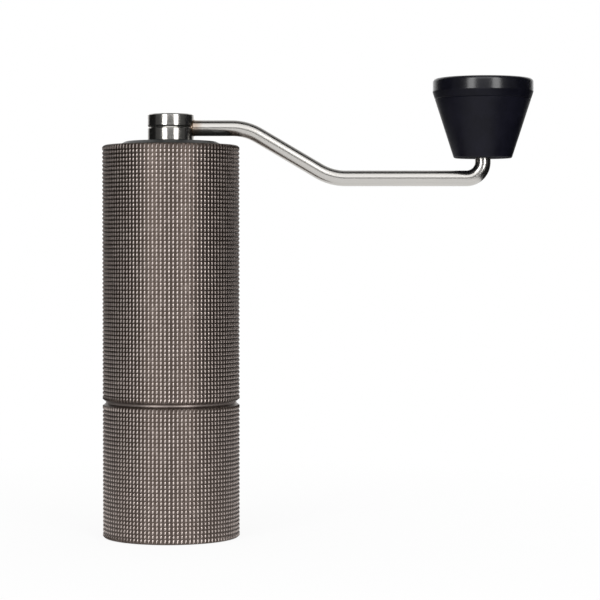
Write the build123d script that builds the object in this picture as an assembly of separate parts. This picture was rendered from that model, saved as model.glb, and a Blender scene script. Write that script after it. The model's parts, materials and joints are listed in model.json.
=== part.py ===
from build123d import *
import math
import os

# Hand crank coffee grinder: a knurled aluminium body screwed onto a knurled catch cup, a conical burr set
# on a shaft in two ball bearings, a grind dial under the burr, and a lid that lifts off with the crank.
# Millimetres, +Z up. The origin is the centre of the cup's base and the crank points along +X.

# Outside of the body and the cup
CREST_DIAMETER = 52.0        # over the crests of the knurl
CUP_HEIGHT = 51.0            # base to the plane where the body seats on the cup
BODY_HEIGHT = 97.6           # that plane to the rim
BASE_CHAMFER = 1.4
RIM_CHAMFER = 0.7
NOTCH_DEPTH = 1.2            # V notch that parts the body from the cup
NOTCH_CHAMFER = 1.0
COLLAR_HEIGHT = 0.6          # smooth collar at the bottom of the notch

# Catch cup and the neck that screws into it
CUP_FLOOR = 2.5
CUP_WALL = 3.0
CUP_FLOOR_ROUND = 3.0
NECK_STEP = 2.4              # crest to the neck's outside
NECK_WALL = 4.55             # neck's outside to the burr seat
NECK_LENGTH = 8.0
NECK_CHAMFER = 0.6
THREAD_CLEARANCE = 0.2
NECK_RELIEF = 0.5

# Walls of the body from crest to bore, thinnest at the mouth
MOUTH_WALL = 3.4
MOUTH_CHAMFER = 0.4
LID_SEAT_DEPTH = 4.2
HOPPER_WALL = 4.0
CHAMBER_WALL = 4.5
FUNNEL_WALL = 5.5
FUNNEL_HEIGHT = 4.1
LEDGE_HEIGHT = 1.0
UPPER_LEDGE_DEPTH = 37.4     # rim to the seat of the upper bracket

# Fits
PRESS_CLEARANCE = 0.01
SEAT_CLEARANCE = 0.05
RUNNING_CLEARANCE = 0.05
SOCKET_CLEARANCE = 0.12

# Burrs
RING_BURR_HEIGHT = 16.5
RING_BURR_BOTTOM_WALL = 2.3
RING_BURR_WAIST_WALL = 4.9
RING_BURR_TOP_WALL = 2.4
BURR_GAP = 0.8               # radial gap between the tooth tips at rest
FINE_HEIGHT = 6.0            # height of the fine teeth on both burrs
FINE_TOOTH_DEPTH = 0.6
FINE_TEETH = 36
FINE_TWIST = 14.0
CONE_HEIGHT = 18.0
CONE_TOP_DIAMETER = 15.6
COARSE_TEETH = 6
COARSE_TOOTH_DEPTH = 3.0
COARSE_TWIST = 72.0
COARSE_STEPS = 4
RING_COARSE_TEETH = 9
RING_COARSE_DEPTH = 1.2
RING_COARSE_TWIST = -24.0
TOOTH_LEAN = 0.3             # share of a tooth pitch by which a tip leads its root

# Screws that clamp the ring burr
SCREW_COUNT = 3
SCREW_DIAMETER = 2.0
SCREW_LENGTH = 6.0
SCREW_HEAD_DIAMETER = 3.8
SCREW_HEAD_HEIGHT = 1.5
SCREW_HEAD_CLEARANCE = 0.15
SCREW_OVERLAP = 0.6
SCREW_SOCKET_FLATS = 1.5
SCREW_SOCKET_DEPTH = 0.8
SCREW_ANGLE = 30.0

# Bearings and their brackets
BEARING_OUTER = 16.0
BEARING_WIDTH = 5.0
BALL_DIAMETER = 2.4
BALL_COUNT = 8
BALL_CLEARANCE = 0.03
RACE_LAND = 0.65             # share of the ball's radius between pitch circle and land
SHIELD_THICKNESS = 0.3
SHIELD_INSET = 0.2
SHIELD_CLEARANCE = 0.2
BRACKET_ROOF = 1.2
BRACKET_HUB_WALL = 2.5
BRACKET_RIM_WALL = 1.6
BRACKET_ARM_WIDTH = 5.0
BRACKET_ARMS = 3
BRACKET_ARM_ANGLE = 60.0
BRACKET_FILLET = 1.5

# Drive shaft
SHAFT_DIAMETER = 8.0
SHAFT_FLATS = 6.4
DRIVE_SIDES = 5
DRIVE_BELOW_STEM = 2.6
SHAFT_END_CHAMFER = 0.5
THREAD_DIAMETER = 6.0
CLIP_THICKNESS = 0.9
CLIP_GROOVE_DEPTH = 0.6
CLIP_REACH = 1.4             # how far a clip stands out of its shaft
CLIP_PLAY = 0.05
CLIP_OPENING = 70.0

# Burr spring
SPRING_WIRE = 1.0
SPRING_SHAFT_CLEARANCE = 0.6
SPRING_TURNS = 3.5
SPRING_POCKET_DEPTH = 5.0
SPRING_POCKET_CLEARANCE = 0.6
SPRING_WASHER_MARGIN = 0.1
SPRING_WASHER_THICKNESS = 0.5

# Grind dial
DIAL_DIAMETER = 26.0
DIAL_HEIGHT = 7.5
DIAL_CHAMFER = 0.6
DIAL_GRIPS = 12
DIAL_GRIP_DIAMETER = 5.0
DIAL_GRIP_DEPTH = 0.9
DIAL_GAP = 0.2
DIAL_TRAVEL = 1.5            # up or down from the rest setting
FLATS_BELOW_DIAL_TOP = 1.2
DIAL_TOP_PLAY = 0.3
SHAFT_TAIL = 1.0
CLICK_PLATE_DIAMETER = 23.0
CLICK_PLATE_THICKNESS = 1.0
CLICK_COUNT = 12
CLICK_CIRCLE = 18.0
DETENT_BALL_DIAMETER = 3.0
DETENT_COUNT = 2
DETENT_PROUD = 0.1
DETENT_POCKET_DEPTH = 4.6
DIMPLE_DEPTH = 0.35
DETENT_WIRE = 0.4
DETENT_TURNS = 2.0

# Lid
LID_RISE = 1.5               # top of the lid above the rim
LID_EDGE_DROP = 1.2          # its outer edge below the rim
LID_SLOPE_WIDTH = 5.45
LID_WALL = 2.2
LID_SKIRT_WALL = 1.6
LID_SKIRT_DEPTH = 4.8
LID_SKIRT_GAP = 0.6
LID_BOSS_WALL = 2.95
LID_BOSS_DEPTH = 6.9
LID_RIBS = 6
LID_RIB_WIDTH = 1.4
LID_RIB_DEPTH = 2.0

# Crank hub
HUB_DIAMETER = 17.6
HUB_HEIGHT = 10.2
HUB_CHAMFER = 0.4
HUB_GAP = 0.1
HUB_GROOVE_HEIGHT = 5.3      # middle of the V groove above the hub's underside
HUB_GROOVE_DEPTH = 0.45
HUB_GROOVE_HALF_WIDTH = 0.6
STEM_DIAMETER = 13.0
STEM_LENGTH = 12.0
SOCKET_ABOVE_STEM = 3.2

# Crank arm, a bent round rod
ARM_DIAMETER = 6.0
ARM_HEIGHT = 5.0             # rod's axis above the hub's underside
ARM_SEAT = 3.5
ARM_REACH = 118.4            # shaft's axis to the knob's axis
ARM_DROP = 19.0
ARM_FIRST_BEND = 28.6        # shaft's axis to the first corner
ARM_SLOPE = 30.5
ARM_BEND_RADIUS = 20.0
ARM_END_BEND_RADIUS = 6.2
SPINDLE_DIAMETER = 5.0

# Knob
KNOB_LOWER_DIAMETER = 22.0
KNOB_UPPER_DIAMETER = 38.2
KNOB_GAP = 7.7               # rod's lower axis to the knob's underside
KNOB_CONE_HEIGHT = 25.1
KNOB_RIM_HEIGHT = 4.9
KNOB_RIM_ROUND = 1.4
KNOB_SEAM_DEPTH = 2.8        # seam of the cap below the widest edge
KNOB_SEAM_CHAMFER = 0.2
KNOB_EDGE_CHAMFER = 0.3
CAP_TOP_WALL = 2.2
CAP_PLUG_WALL = 1.6
CAP_PLUG_DEPTH = 4.0
CAP_SEAT_WIDTH = 3.3         # ring on which the cap rests on the grip
KNOB_ENTRY = 1.0             # depth of the full rod inside the knob
KNOB_ENTRY_CLEARANCE = 0.3
BUSH_LENGTH = 14.0
BUSH_WALL = 2.0
BUSH_FLANGE_WALL = 1.4
BUSH_FLANGE_THICKNESS = 1.0
BUSH_PLAY = 0.1
KNOB_WASHER_THICKNESS = 0.6
SPINDLE_TAIL = 1.2

# Radii that several pieces share
CREST_R = CREST_DIAMETER / 2
NECK_R = CREST_R - NECK_STEP
MOUTH_R = CREST_R - MOUTH_WALL
HOPPER_R = CREST_R - HOPPER_WALL
CHAMBER_R = CREST_R - CHAMBER_WALL
FUNNEL_R = CREST_R - FUNNEL_WALL
SHAFT_R = SHAFT_DIAMETER / 2
THREAD_R = THREAD_DIAMETER / 2
BEARING_R = BEARING_OUTER / 2
BALL_R = BALL_DIAMETER / 2
PITCH_R = (SHAFT_R + BEARING_R) / 2
INNER_LAND_R = PITCH_R - RACE_LAND * BALL_R
OUTER_LAND_R = PITCH_R + RACE_LAND * BALL_R
BURR_SEAT_R = NECK_R - NECK_WALL
RING_BURR_R = BURR_SEAT_R - SEAT_CLEARANCE
RING_BURR_BOTTOM_R = RING_BURR_R - RING_BURR_BOTTOM_WALL
RING_BURR_WAIST_R = RING_BURR_R - RING_BURR_WAIST_WALL
RING_BURR_TOP_R = RING_BURR_R - RING_BURR_TOP_WALL
SCREW_R = SCREW_DIAMETER / 2
SCREW_HEAD_R = SCREW_HEAD_DIAMETER / 2
SCREW_CIRCLE_R = BURR_SEAT_R + SCREW_HEAD_R - SCREW_OVERLAP
ARM_R = ARM_DIAMETER / 2
SPINDLE_R = SPINDLE_DIAMETER / 2
HUB_R = HUB_DIAMETER / 2
STEM_R = STEM_DIAMETER / 2
DETENT_R = DETENT_BALL_DIAMETER / 2
SPRING_R = SHAFT_R + SPRING_SHAFT_CLEARANCE + SPRING_WIRE / 2
SPRING_OUTER_R = SPRING_R + SPRING_WIRE / 2
KNOB_UPPER_R = KNOB_UPPER_DIAMETER / 2
KNOB_LOWER_R = KNOB_LOWER_DIAMETER / 2
KNOB_SLOPE = (KNOB_UPPER_R - KNOB_LOWER_R) / KNOB_CONE_HEIGHT
KNOB_SEAM_R = KNOB_UPPER_R - KNOB_SLOPE * KNOB_SEAM_DEPTH
CAP_PLUG_R = KNOB_SEAM_R - CAP_SEAT_WIDTH

# Levels, from the base up
SEAT_Z = CUP_HEIGHT
RIM_Z = SEAT_Z + BODY_HEIGHT
NECK_Z = SEAT_Z - NECK_LENGTH
RING_BURR_Z = NECK_Z + SCREW_HEAD_HEIGHT
RING_BURR_TOP_Z = RING_BURR_Z + RING_BURR_HEIGHT
FUNNEL_TOP_Z = RING_BURR_TOP_Z + FUNNEL_HEIGHT
LOWER_LEDGE_Z = FUNNEL_TOP_Z + LEDGE_HEIGHT
UPPER_LEDGE_Z = RIM_Z - UPPER_LEDGE_DEPTH
BRACKET_HEIGHT = BEARING_WIDTH + BRACKET_ROOF
LOWER_BEARING_Z = LOWER_LEDGE_Z
UPPER_BEARING_Z = UPPER_LEDGE_Z + BRACKET_ROOF
SHAFT_CLIP_Z = UPPER_BEARING_Z + BEARING_WIDTH + CLIP_PLAY
CONE_Z = RING_BURR_Z
CONE_TOP_Z = CONE_Z + CONE_HEIGHT
CLICK_PLATE_Z = CONE_Z - CLICK_PLATE_THICKNESS
DIAL_TOP_Z = CLICK_PLATE_Z - DIAL_GAP
DIAL_Z = DIAL_TOP_Z - DIAL_HEIGHT
FLATS_Z = DIAL_TOP_Z - FLATS_BELOW_DIAL_TOP
SHAFT_Z = DIAL_Z - DIAL_TRAVEL - SHAFT_TAIL
LID_SEAT_Z = RIM_Z - LID_SEAT_DEPTH
LID_EDGE_Z = RIM_Z - LID_EDGE_DROP
LID_TOP_Z = RIM_Z + LID_RISE
LID_BOSS_Z = LID_TOP_Z - LID_BOSS_DEPTH
HUB_Z = LID_TOP_Z + HUB_GAP
HUB_TOP_Z = HUB_Z + HUB_HEIGHT
STEM_Z = HUB_Z - STEM_LENGTH
SOCKET_TOP_Z = HUB_Z + SOCKET_ABOVE_STEM
SHAFT_TOP_Z = SOCKET_TOP_Z - DIAL_TOP_PLAY
DRIVE_Z = STEM_Z - DRIVE_BELOW_STEM
LID_CLIP_Z = LID_BOSS_Z - CLIP_PLAY - CLIP_THICKNESS
ARM_Z = HUB_Z + ARM_HEIGHT
ARM_LOW_Z = ARM_Z - ARM_DROP
KNOB_Z = ARM_LOW_Z + KNOB_GAP
KNOB_WIDE_Z = KNOB_Z + KNOB_CONE_HEIGHT
KNOB_TOP_Z = KNOB_WIDE_Z + KNOB_RIM_HEIGHT
KNOB_SEAM_Z = KNOB_WIDE_Z - KNOB_SEAM_DEPTH
SPINDLE_Z = KNOB_Z + KNOB_ENTRY
BUSH_Z = SPINDLE_Z + BUSH_PLAY
BUSH_TOP_Z = BUSH_Z + BUSH_LENGTH
KNOB_WASHER_Z = BUSH_TOP_Z + BUSH_PLAY
KNOB_CLIP_Z = KNOB_WASHER_Z + KNOB_WASHER_THICKNESS + CLIP_PLAY
SPINDLE_TOP_Z = KNOB_CLIP_Z + CLIP_THICKNESS + SPINDLE_TAIL
KNOB_FLOOR_Z = BUSH_TOP_Z - BUSH_FLANGE_THICKNESS


def lathe(points, rounds=()):
    """Solid of revolution about Z from (radius, height) corners, with (corner index, radius) rounds."""
    face = make_face(Polyline(*points, close=True))
    for index, radius in rounds:
        corner = face.vertices().sort_by_distance((*points[index], 0))[0]
        face = fillet(corner, radius)
    return revolve(Plane.XZ * face, Axis.Z)


def ring(inner_r, outer_r, low_z, high_z):
    """Plain ring about Z."""
    return lathe([(inner_r, low_z), (outer_r, low_z), (outer_r, high_z), (inner_r, high_z)])


def rod(radius, low_z, high_z, x=0.0, y=0.0):
    """Plain upright cylinder."""
    return Pos(x, y, low_z) * Cylinder(radius, high_z - low_z, align=(Align.CENTER, Align.CENTER, Align.MIN))


def around(count, radius, start=0.0):
    """Points evenly spaced on a circle, as (angle in degrees, x, y)."""
    for index in range(count):
        angle = start + index * 360 / count
        yield angle, radius * math.cos(math.radians(angle)), radius * math.sin(math.radians(angle))


def prism(sides, radius, low_z, high_z):
    """Upright prism on a regular polygon given by the radius to its corners."""
    return extrude(Pos(0, 0, low_z) * RegularPolygon(radius, sides), high_z - low_z)


def double_flat(radius, flats, low_z, high_z):
    """Cylinder with two flats, as keys a burr to its shaft."""
    slab = Pos(0, 0, (low_z + high_z) / 2) * Box(2 * radius, flats, high_z - low_z)
    return rod(radius, low_z, high_z) & slab


def open_clip(groove_r, outer_r, low_z, x=0.0):
    """Retaining clip: a flat ring with a slot, sprung into a groove."""
    mouth = Pos(0, 0, low_z) * Rot(0, 0, -CLIP_OPENING / 2)
    slot = mouth * extrude(make_face(
        Polyline((0, 0), (2 * outer_r, 0), polar_point(2 * outer_r, CLIP_OPENING), close=True)
    ), CLIP_THICKNESS)
    return Pos(x, 0, 0) * (ring(groove_r, outer_r, low_z, low_z + CLIP_THICKNESS) - slot)


def polar_point(radius, angle):
    """Plane point at a radius and an angle in degrees."""
    return radius * math.cos(math.radians(angle)), radius * math.sin(math.radians(angle))


def clip_groove(shaft_r, low_z, x=0.0):
    """Ring cut out of a shaft for a clip."""
    cut = ring(shaft_r - CLIP_GROOVE_DEPTH, 2 * shaft_r, low_z - CLIP_PLAY, low_z + CLIP_THICKNESS + CLIP_PLAY)
    return Pos(x, 0, 0) * cut


def shaft_clip(shaft_r, low_z, x=0.0):
    """Clip that fits such a groove and stands out of the shaft."""
    return open_clip(shaft_r - CLIP_GROOVE_DEPTH + PRESS_CLEARANCE, shaft_r + CLIP_REACH, low_z, x)


def biarc(start, start_tangent, end, end_tangent):
    """Two tangent arcs that join two points in given directions, both arcs with equal tangent lengths."""
    chord = end - start
    spread = 2 * (1 - start_tangent.dot(end_tangent))
    along = chord.dot(start_tangent + end_tangent)
    reach = (math.sqrt(along ** 2 + spread * chord.dot(chord)) - along) / spread
    joint = (start + end + (start_tangent - end_tangent) * reach) / 2
    first = TangentArc(start, joint, tangent=start_tangent)
    return first, TangentArc(joint, end, tangent=first % 1)


def coil(mean_r, wire_r, low_z, high_z, turns):
    """Compression spring: a round wire on a helix that is built from a pair of arcs for each quarter turn."""
    steps = round(turns * 4)
    low, high = low_z + wire_r, high_z - wire_r
    climb = (high - low) / (turns * 2 * math.pi)

    def point(angle):
        return Vector(mean_r * math.cos(angle), mean_r * math.sin(angle), low + climb * angle)

    def tangent(angle):
        return Vector(-mean_r * math.sin(angle), mean_r * math.cos(angle), climb).normalized()

    angles = [index * turns * 2 * math.pi / steps for index in range(steps + 1)]
    edges = []
    for a, b in zip(angles, angles[1:]):
        edges += biarc(point(a), tangent(a), point(b), tangent(b))
    section = Plane(origin=point(0), z_dir=tangent(0)) * Circle(wire_r)
    return sweep(section, path=Wire(edges))


def toothed_section(z, tip_r, root_r, teeth, twist):
    """Flat star of teeth at one height, each tip leaning ahead of its root."""
    corners = []
    for index in range(teeth):
        corners.append(polar_point(root_r, twist + index * 360 / teeth))
        corners.append(polar_point(tip_r, twist + (index + 0.5 + TOOTH_LEAN) * 360 / teeth))
    return Pos(0, 0, z) * make_face(Polyline(*corners, close=True))


def toothed_cone(low, high, depth, teeth, twist, steps, turned=0.0):
    """Twisted teeth on a cone between two (radius, height) ends. A positive depth cuts the roots inwards."""
    sections = []
    for index in range(steps + 1):
        share = index / steps
        radius = low[0] + share * (high[0] - low[0])
        height = low[1] + share * (high[1] - low[1])
        sections.append(toothed_section(height, radius, radius - depth, teeth, turned + share * twist))
    return loft(sections, ruled=True)


def catch_cup():
    """Cup that screws onto the body's neck and carries the grinder."""
    mouth_r = NECK_R + THREAD_CLEARANCE
    inner_r = CREST_R - CUP_WALL
    ledge_z = NECK_Z - NECK_RELIEF
    profile = [
        (0, 0),
        (CREST_R - BASE_CHAMFER, 0),
        (CREST_R, BASE_CHAMFER),
        (CREST_R, CUP_HEIGHT - NOTCH_CHAMFER),
        (CREST_R - NOTCH_DEPTH, CUP_HEIGHT),
        (mouth_r, CUP_HEIGHT),
        (mouth_r, ledge_z),
        (inner_r, ledge_z),
        (inner_r, CUP_FLOOR),
        (0, CUP_FLOOR),
    ]
    return lathe(profile, [(8, CUP_FLOOR_ROUND)])


def grinder_body():
    """Tube with the hopper, the bracket seats, the burr seat and the threaded neck."""
    collar_r = CREST_R - NOTCH_DEPTH
    collar_z = SEAT_Z + COLLAR_HEIGHT
    shoulder_r = RING_BURR_TOP_R + RING_COARSE_DEPTH
    recess_r = SCREW_CIRCLE_R + SCREW_HEAD_R + SCREW_HEAD_CLEARANCE
    profile = [
        (BURR_SEAT_R, RING_BURR_Z),
        (recess_r, RING_BURR_Z),
        (recess_r, NECK_Z),
        (NECK_R - NECK_CHAMFER, NECK_Z),
        (NECK_R, NECK_Z + NECK_CHAMFER),
        (NECK_R, SEAT_Z),
        (collar_r, SEAT_Z),
        (collar_r, collar_z),
        (CREST_R, collar_z + NOTCH_CHAMFER),
        (CREST_R, RIM_Z - RIM_CHAMFER),
        (CREST_R - RIM_CHAMFER, RIM_Z),
        (MOUTH_R + MOUTH_CHAMFER, RIM_Z),
        (MOUTH_R, RIM_Z - MOUTH_CHAMFER),
        (MOUTH_R, LID_SEAT_Z),
        (HOPPER_R, LID_SEAT_Z),
        (HOPPER_R, UPPER_LEDGE_Z),
        (CHAMBER_R, UPPER_LEDGE_Z),
        (CHAMBER_R, LOWER_LEDGE_Z),
        (FUNNEL_R, LOWER_LEDGE_Z),
        (FUNNEL_R, FUNNEL_TOP_Z),
        (shoulder_r, RING_BURR_TOP_Z),
        (BURR_SEAT_R, RING_BURR_TOP_Z),
    ]
    body = lathe(profile)
    for _, x, y in around(SCREW_COUNT, SCREW_CIRCLE_R, SCREW_ANGLE):
        body -= rod(SCREW_R, RING_BURR_Z, RING_BURR_Z + SCREW_LENGTH + SEAT_CLEARANCE, x, y)
    return body


def bracket(bore_r, ledge_z, pocket_from_top):
    """Spider that holds a bearing on the axis and lets beans fall between its arms."""
    rim_r = bore_r - SEAT_CLEARANCE
    hub_r = BEARING_R + BRACKET_HUB_WALL
    clear_r = OUTER_LAND_R
    arm_low, arm_high = hub_r - BRACKET_RIM_WALL, rim_r - BRACKET_RIM_WALL / 2
    arm = Pos((arm_low + arm_high) / 2, 0) * Rectangle(arm_high - arm_low, BRACKET_ARM_WIDTH)
    outline = Circle(rim_r) - Circle(rim_r - BRACKET_RIM_WALL) + Circle(hub_r)
    for angle, _, _ in around(BRACKET_ARMS, 1, BRACKET_ARM_ANGLE):
        outline += Rot(0, 0, angle) * arm
    corners = outline.vertices().filter_by(lambda v: hub_r - 0.1 < Vector(*v).length < rim_r - 0.1)
    outline = fillet(corners, BRACKET_FILLET)
    spider = extrude(Pos(0, 0, ledge_z) * outline, BRACKET_HEIGHT)
    spider -= rod(clear_r, ledge_z, ledge_z + BRACKET_HEIGHT)
    pocket_z = ledge_z + BRACKET_ROOF if pocket_from_top else ledge_z
    return spider - rod(BEARING_R + PRESS_CLEARANCE, pocket_z, pocket_z + BEARING_WIDTH)


def bearing_pieces(low_z):
    """Shielded ball bearing: outer ring, inner ring, balls and shields."""
    high_z = low_z + BEARING_WIDTH
    middle_z = (low_z + high_z) / 2
    groove = Pos(0, 0, middle_z) * Torus(PITCH_R, BALL_R + BALL_CLEARANCE)
    outer = ring(OUTER_LAND_R, BEARING_R, low_z, high_z) - groove
    inner = ring(SHAFT_R + PRESS_CLEARANCE, INNER_LAND_R, low_z, high_z) - groove
    balls = [Pos(x, y, middle_z) * Sphere(BALL_R) for _, x, y in around(BALL_COUNT, PITCH_R)]
    shields = []
    for shield_z in (low_z + SHIELD_INSET, high_z - SHIELD_INSET - SHIELD_THICKNESS):
        shields.append(ring(
            INNER_LAND_R + SHIELD_CLEARANCE, OUTER_LAND_R - PRESS_CLEARANCE, shield_z, shield_z + SHIELD_THICKNESS
        ))
    return outer, inner, balls, shields


def ring_burr():
    """Fixed burr: a hard ring whose bore narrows to a waist and opens again through the fine teeth."""
    waist_z = RING_BURR_Z + FINE_HEIGHT
    waist_r = RING_BURR_WAIST_R
    blank = ring(waist_r - FINE_TOOTH_DEPTH, RING_BURR_R, RING_BURR_Z, RING_BURR_TOP_Z)
    fine = toothed_cone(
        (RING_BURR_BOTTOM_R, RING_BURR_Z), (waist_r, waist_z), -FINE_TOOTH_DEPTH, FINE_TEETH, FINE_TWIST, 2
    )
    coarse = toothed_cone(
        (waist_r, waist_z), (RING_BURR_TOP_R, RING_BURR_TOP_Z), -RING_COARSE_DEPTH,
        RING_COARSE_TEETH, RING_COARSE_TWIST, 2
    )
    return blank - fine - coarse


def cone_burr():
    """Turning burr: coarse breaker teeth above, fine teeth below, a keyed bore and the spring's pocket."""
    base_r = RING_BURR_BOTTOM_R - BURR_GAP
    waist_r = RING_BURR_WAIST_R - BURR_GAP
    waist_z = CONE_Z + FINE_HEIGHT
    fine = toothed_cone((base_r, CONE_Z), (waist_r, waist_z), FINE_TOOTH_DEPTH, FINE_TEETH, -FINE_TWIST, 2)
    coarse = toothed_cone(
        (waist_r - FINE_TOOTH_DEPTH, waist_z), (CONE_TOP_DIAMETER / 2 + COARSE_TOOTH_DEPTH, CONE_TOP_Z),
        COARSE_TOOTH_DEPTH, COARSE_TEETH, COARSE_TWIST, COARSE_STEPS
    )
    burr = fine + coarse
    burr -= double_flat(
        SHAFT_R + RUNNING_CLEARANCE, SHAFT_FLATS + 2 * RUNNING_CLEARANCE, CONE_Z, CONE_TOP_Z
    )
    return burr - rod(SPRING_OUTER_R + SPRING_POCKET_CLEARANCE, CONE_TOP_Z - SPRING_POCKET_DEPTH, CONE_TOP_Z)


def burr_screws():
    """Screws whose heads clamp the ring burr's edge against its shoulder."""
    screws = []
    for _, x, y in around(SCREW_COUNT, SCREW_CIRCLE_R, SCREW_ANGLE):
        head = rod(SCREW_HEAD_R, NECK_Z, RING_BURR_Z, x, y)
        shank = rod(SCREW_R - PRESS_CLEARANCE, RING_BURR_Z, RING_BURR_Z + SCREW_LENGTH, x, y)
        key = Pos(x, y, 0) * prism(6, SCREW_SOCKET_FLATS / math.sqrt(3), NECK_Z, NECK_Z + SCREW_SOCKET_DEPTH)
        screws.append(head + shank - key)
    return screws


def drive_shaft():
    """Shaft: a thread for the dial, two flats for the burr, plain journals and a five-sided drive end."""
    shaft = rod(SHAFT_R, CONE_TOP_Z, DRIVE_Z)
    shaft += double_flat(SHAFT_R, SHAFT_FLATS, FLATS_Z, CONE_TOP_Z)
    shaft += lathe([
        (0, SHAFT_Z), (THREAD_R - SHAFT_END_CHAMFER, SHAFT_Z), (THREAD_R, SHAFT_Z + SHAFT_END_CHAMFER),
        (THREAD_R, FLATS_Z), (0, FLATS_Z),
    ])
    point = lathe([
        (0, DRIVE_Z), (SHAFT_R, DRIVE_Z), (SHAFT_R, SHAFT_TOP_Z - SHAFT_END_CHAMFER),
        (SHAFT_R - SHAFT_END_CHAMFER, SHAFT_TOP_Z), (0, SHAFT_TOP_Z),
    ])
    shaft += point & prism(DRIVE_SIDES, SHAFT_R, DRIVE_Z, SHAFT_TOP_Z)
    return shaft - clip_groove(SHAFT_R, SHAFT_CLIP_Z)


def burr_spring():
    """Spring that holds the cone burr down on the dial."""
    low_z = CONE_TOP_Z - SPRING_POCKET_DEPTH + SEAT_CLEARANCE
    high_z = LOWER_BEARING_Z - SPRING_WASHER_THICKNESS - 2 * SEAT_CLEARANCE
    return coil(SPRING_R, SPRING_WIRE / 2, low_z, high_z, SPRING_TURNS)


def spring_washer():
    """Washer between the spring and the lower bearing's inner ring."""
    high_z = LOWER_BEARING_Z - SEAT_CLEARANCE
    outer_r = SPRING_OUTER_R + SPRING_WASHER_MARGIN
    return ring(SHAFT_R + SEAT_CLEARANCE, outer_r, high_z - SPRING_WASHER_THICKNESS, high_z)


def click_plate():
    """Plate under the cone burr with a ring of dimples for the dial's clicks."""
    plate = rod(CLICK_PLATE_DIAMETER / 2, CLICK_PLATE_Z, CONE_Z)
    plate -= double_flat(SHAFT_R + RUNNING_CLEARANCE, SHAFT_FLATS + 2 * RUNNING_CLEARANCE, CLICK_PLATE_Z, CONE_Z)
    for _, x, y in around(CLICK_COUNT, CLICK_CIRCLE / 2):
        plate -= Pos(x, y, CLICK_PLATE_Z - DETENT_R + DIMPLE_DEPTH) * Sphere(DETENT_R)
    return plate


def grind_dial():
    """Dial that turns on the shaft's thread and moves the cone burr up and down."""
    dial_r = DIAL_DIAMETER / 2
    dial = lathe([
        (THREAD_R + RUNNING_CLEARANCE, DIAL_Z),
        (dial_r - DIAL_CHAMFER, DIAL_Z),
        (dial_r, DIAL_Z + DIAL_CHAMFER),
        (dial_r, DIAL_TOP_Z - DIAL_CHAMFER),
        (dial_r - DIAL_CHAMFER, DIAL_TOP_Z),
        (THREAD_R + RUNNING_CLEARANCE, DIAL_TOP_Z),
    ])
    grip_r = DIAL_GRIP_DIAMETER / 2
    for _, x, y in around(DIAL_GRIPS, dial_r + grip_r - DIAL_GRIP_DEPTH, 180 / DIAL_GRIPS):
        dial -= rod(grip_r, DIAL_Z, DIAL_TOP_Z, x, y)
    dial -= rod(SHAFT_R + DIAL_TOP_PLAY, FLATS_Z - DIAL_TRAVEL - DIAL_TOP_PLAY, DIAL_TOP_Z)
    for _, x, y in around(DETENT_COUNT, CLICK_CIRCLE / 2):
        dial -= rod(DETENT_R + SEAT_CLEARANCE, DIAL_TOP_Z - DETENT_POCKET_DEPTH, DIAL_TOP_Z, x, y)
    return dial


def detents():
    """Balls and springs in the dial's pockets, as (balls, springs)."""
    ball_z = DIAL_TOP_Z + DETENT_PROUD - DETENT_R
    low_z = DIAL_TOP_Z - DETENT_POCKET_DEPTH + SEAT_CLEARANCE
    spring_r = DETENT_R - DETENT_WIRE
    wire_r = DETENT_WIRE / 2
    high_z = ball_z - math.sqrt((DETENT_R + wire_r + SEAT_CLEARANCE) ** 2 - spring_r ** 2) + wire_r
    balls, springs = [], []
    for _, x, y in around(DETENT_COUNT, CLICK_CIRCLE / 2):
        balls.append(Pos(x, y, ball_z) * Sphere(DETENT_R))
        springs.append(Pos(x, y, 0) * coil(spring_r, wire_r, low_z, high_z, DETENT_TURNS))
    return balls, springs


def lid():
    """Lid: a disc with a sloping edge, a skirt inside the hopper, a boss for the hub's stem and ribs."""
    edge_r = MOUTH_R - SEAT_CLEARANCE
    skirt_r = HOPPER_R - LID_SKIRT_GAP
    bore_r = STEM_R + RUNNING_CLEARANCE
    boss_r = bore_r + LID_BOSS_WALL
    roof_z = LID_TOP_Z - LID_WALL
    skirt_z = LID_SEAT_Z - LID_SKIRT_DEPTH
    profile = [
        (bore_r, LID_BOSS_Z),
        (boss_r, LID_BOSS_Z),
        (boss_r, roof_z),
        (skirt_r - LID_SKIRT_WALL, roof_z),
        (skirt_r - LID_SKIRT_WALL, skirt_z),
        (skirt_r, skirt_z),
        (skirt_r, LID_SEAT_Z),
        (edge_r, LID_SEAT_Z),
        (edge_r, LID_EDGE_Z),
        (edge_r - LID_SLOPE_WIDTH, LID_TOP_Z),
        (bore_r, LID_TOP_Z),
    ]
    cover = lathe(profile)
    rib_low, rib_high = boss_r - LID_RIB_WIDTH / 2, skirt_r - LID_SKIRT_WALL / 2
    rib = Pos((rib_low + rib_high) / 2, 0, roof_z - LID_RIB_DEPTH / 2) * Box(
        rib_high - rib_low, LID_RIB_WIDTH, LID_RIB_DEPTH
    )
    for angle, _, _ in around(LID_RIBS, 1):
        cover += Rot(0, 0, angle) * rib
    return cover


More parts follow.
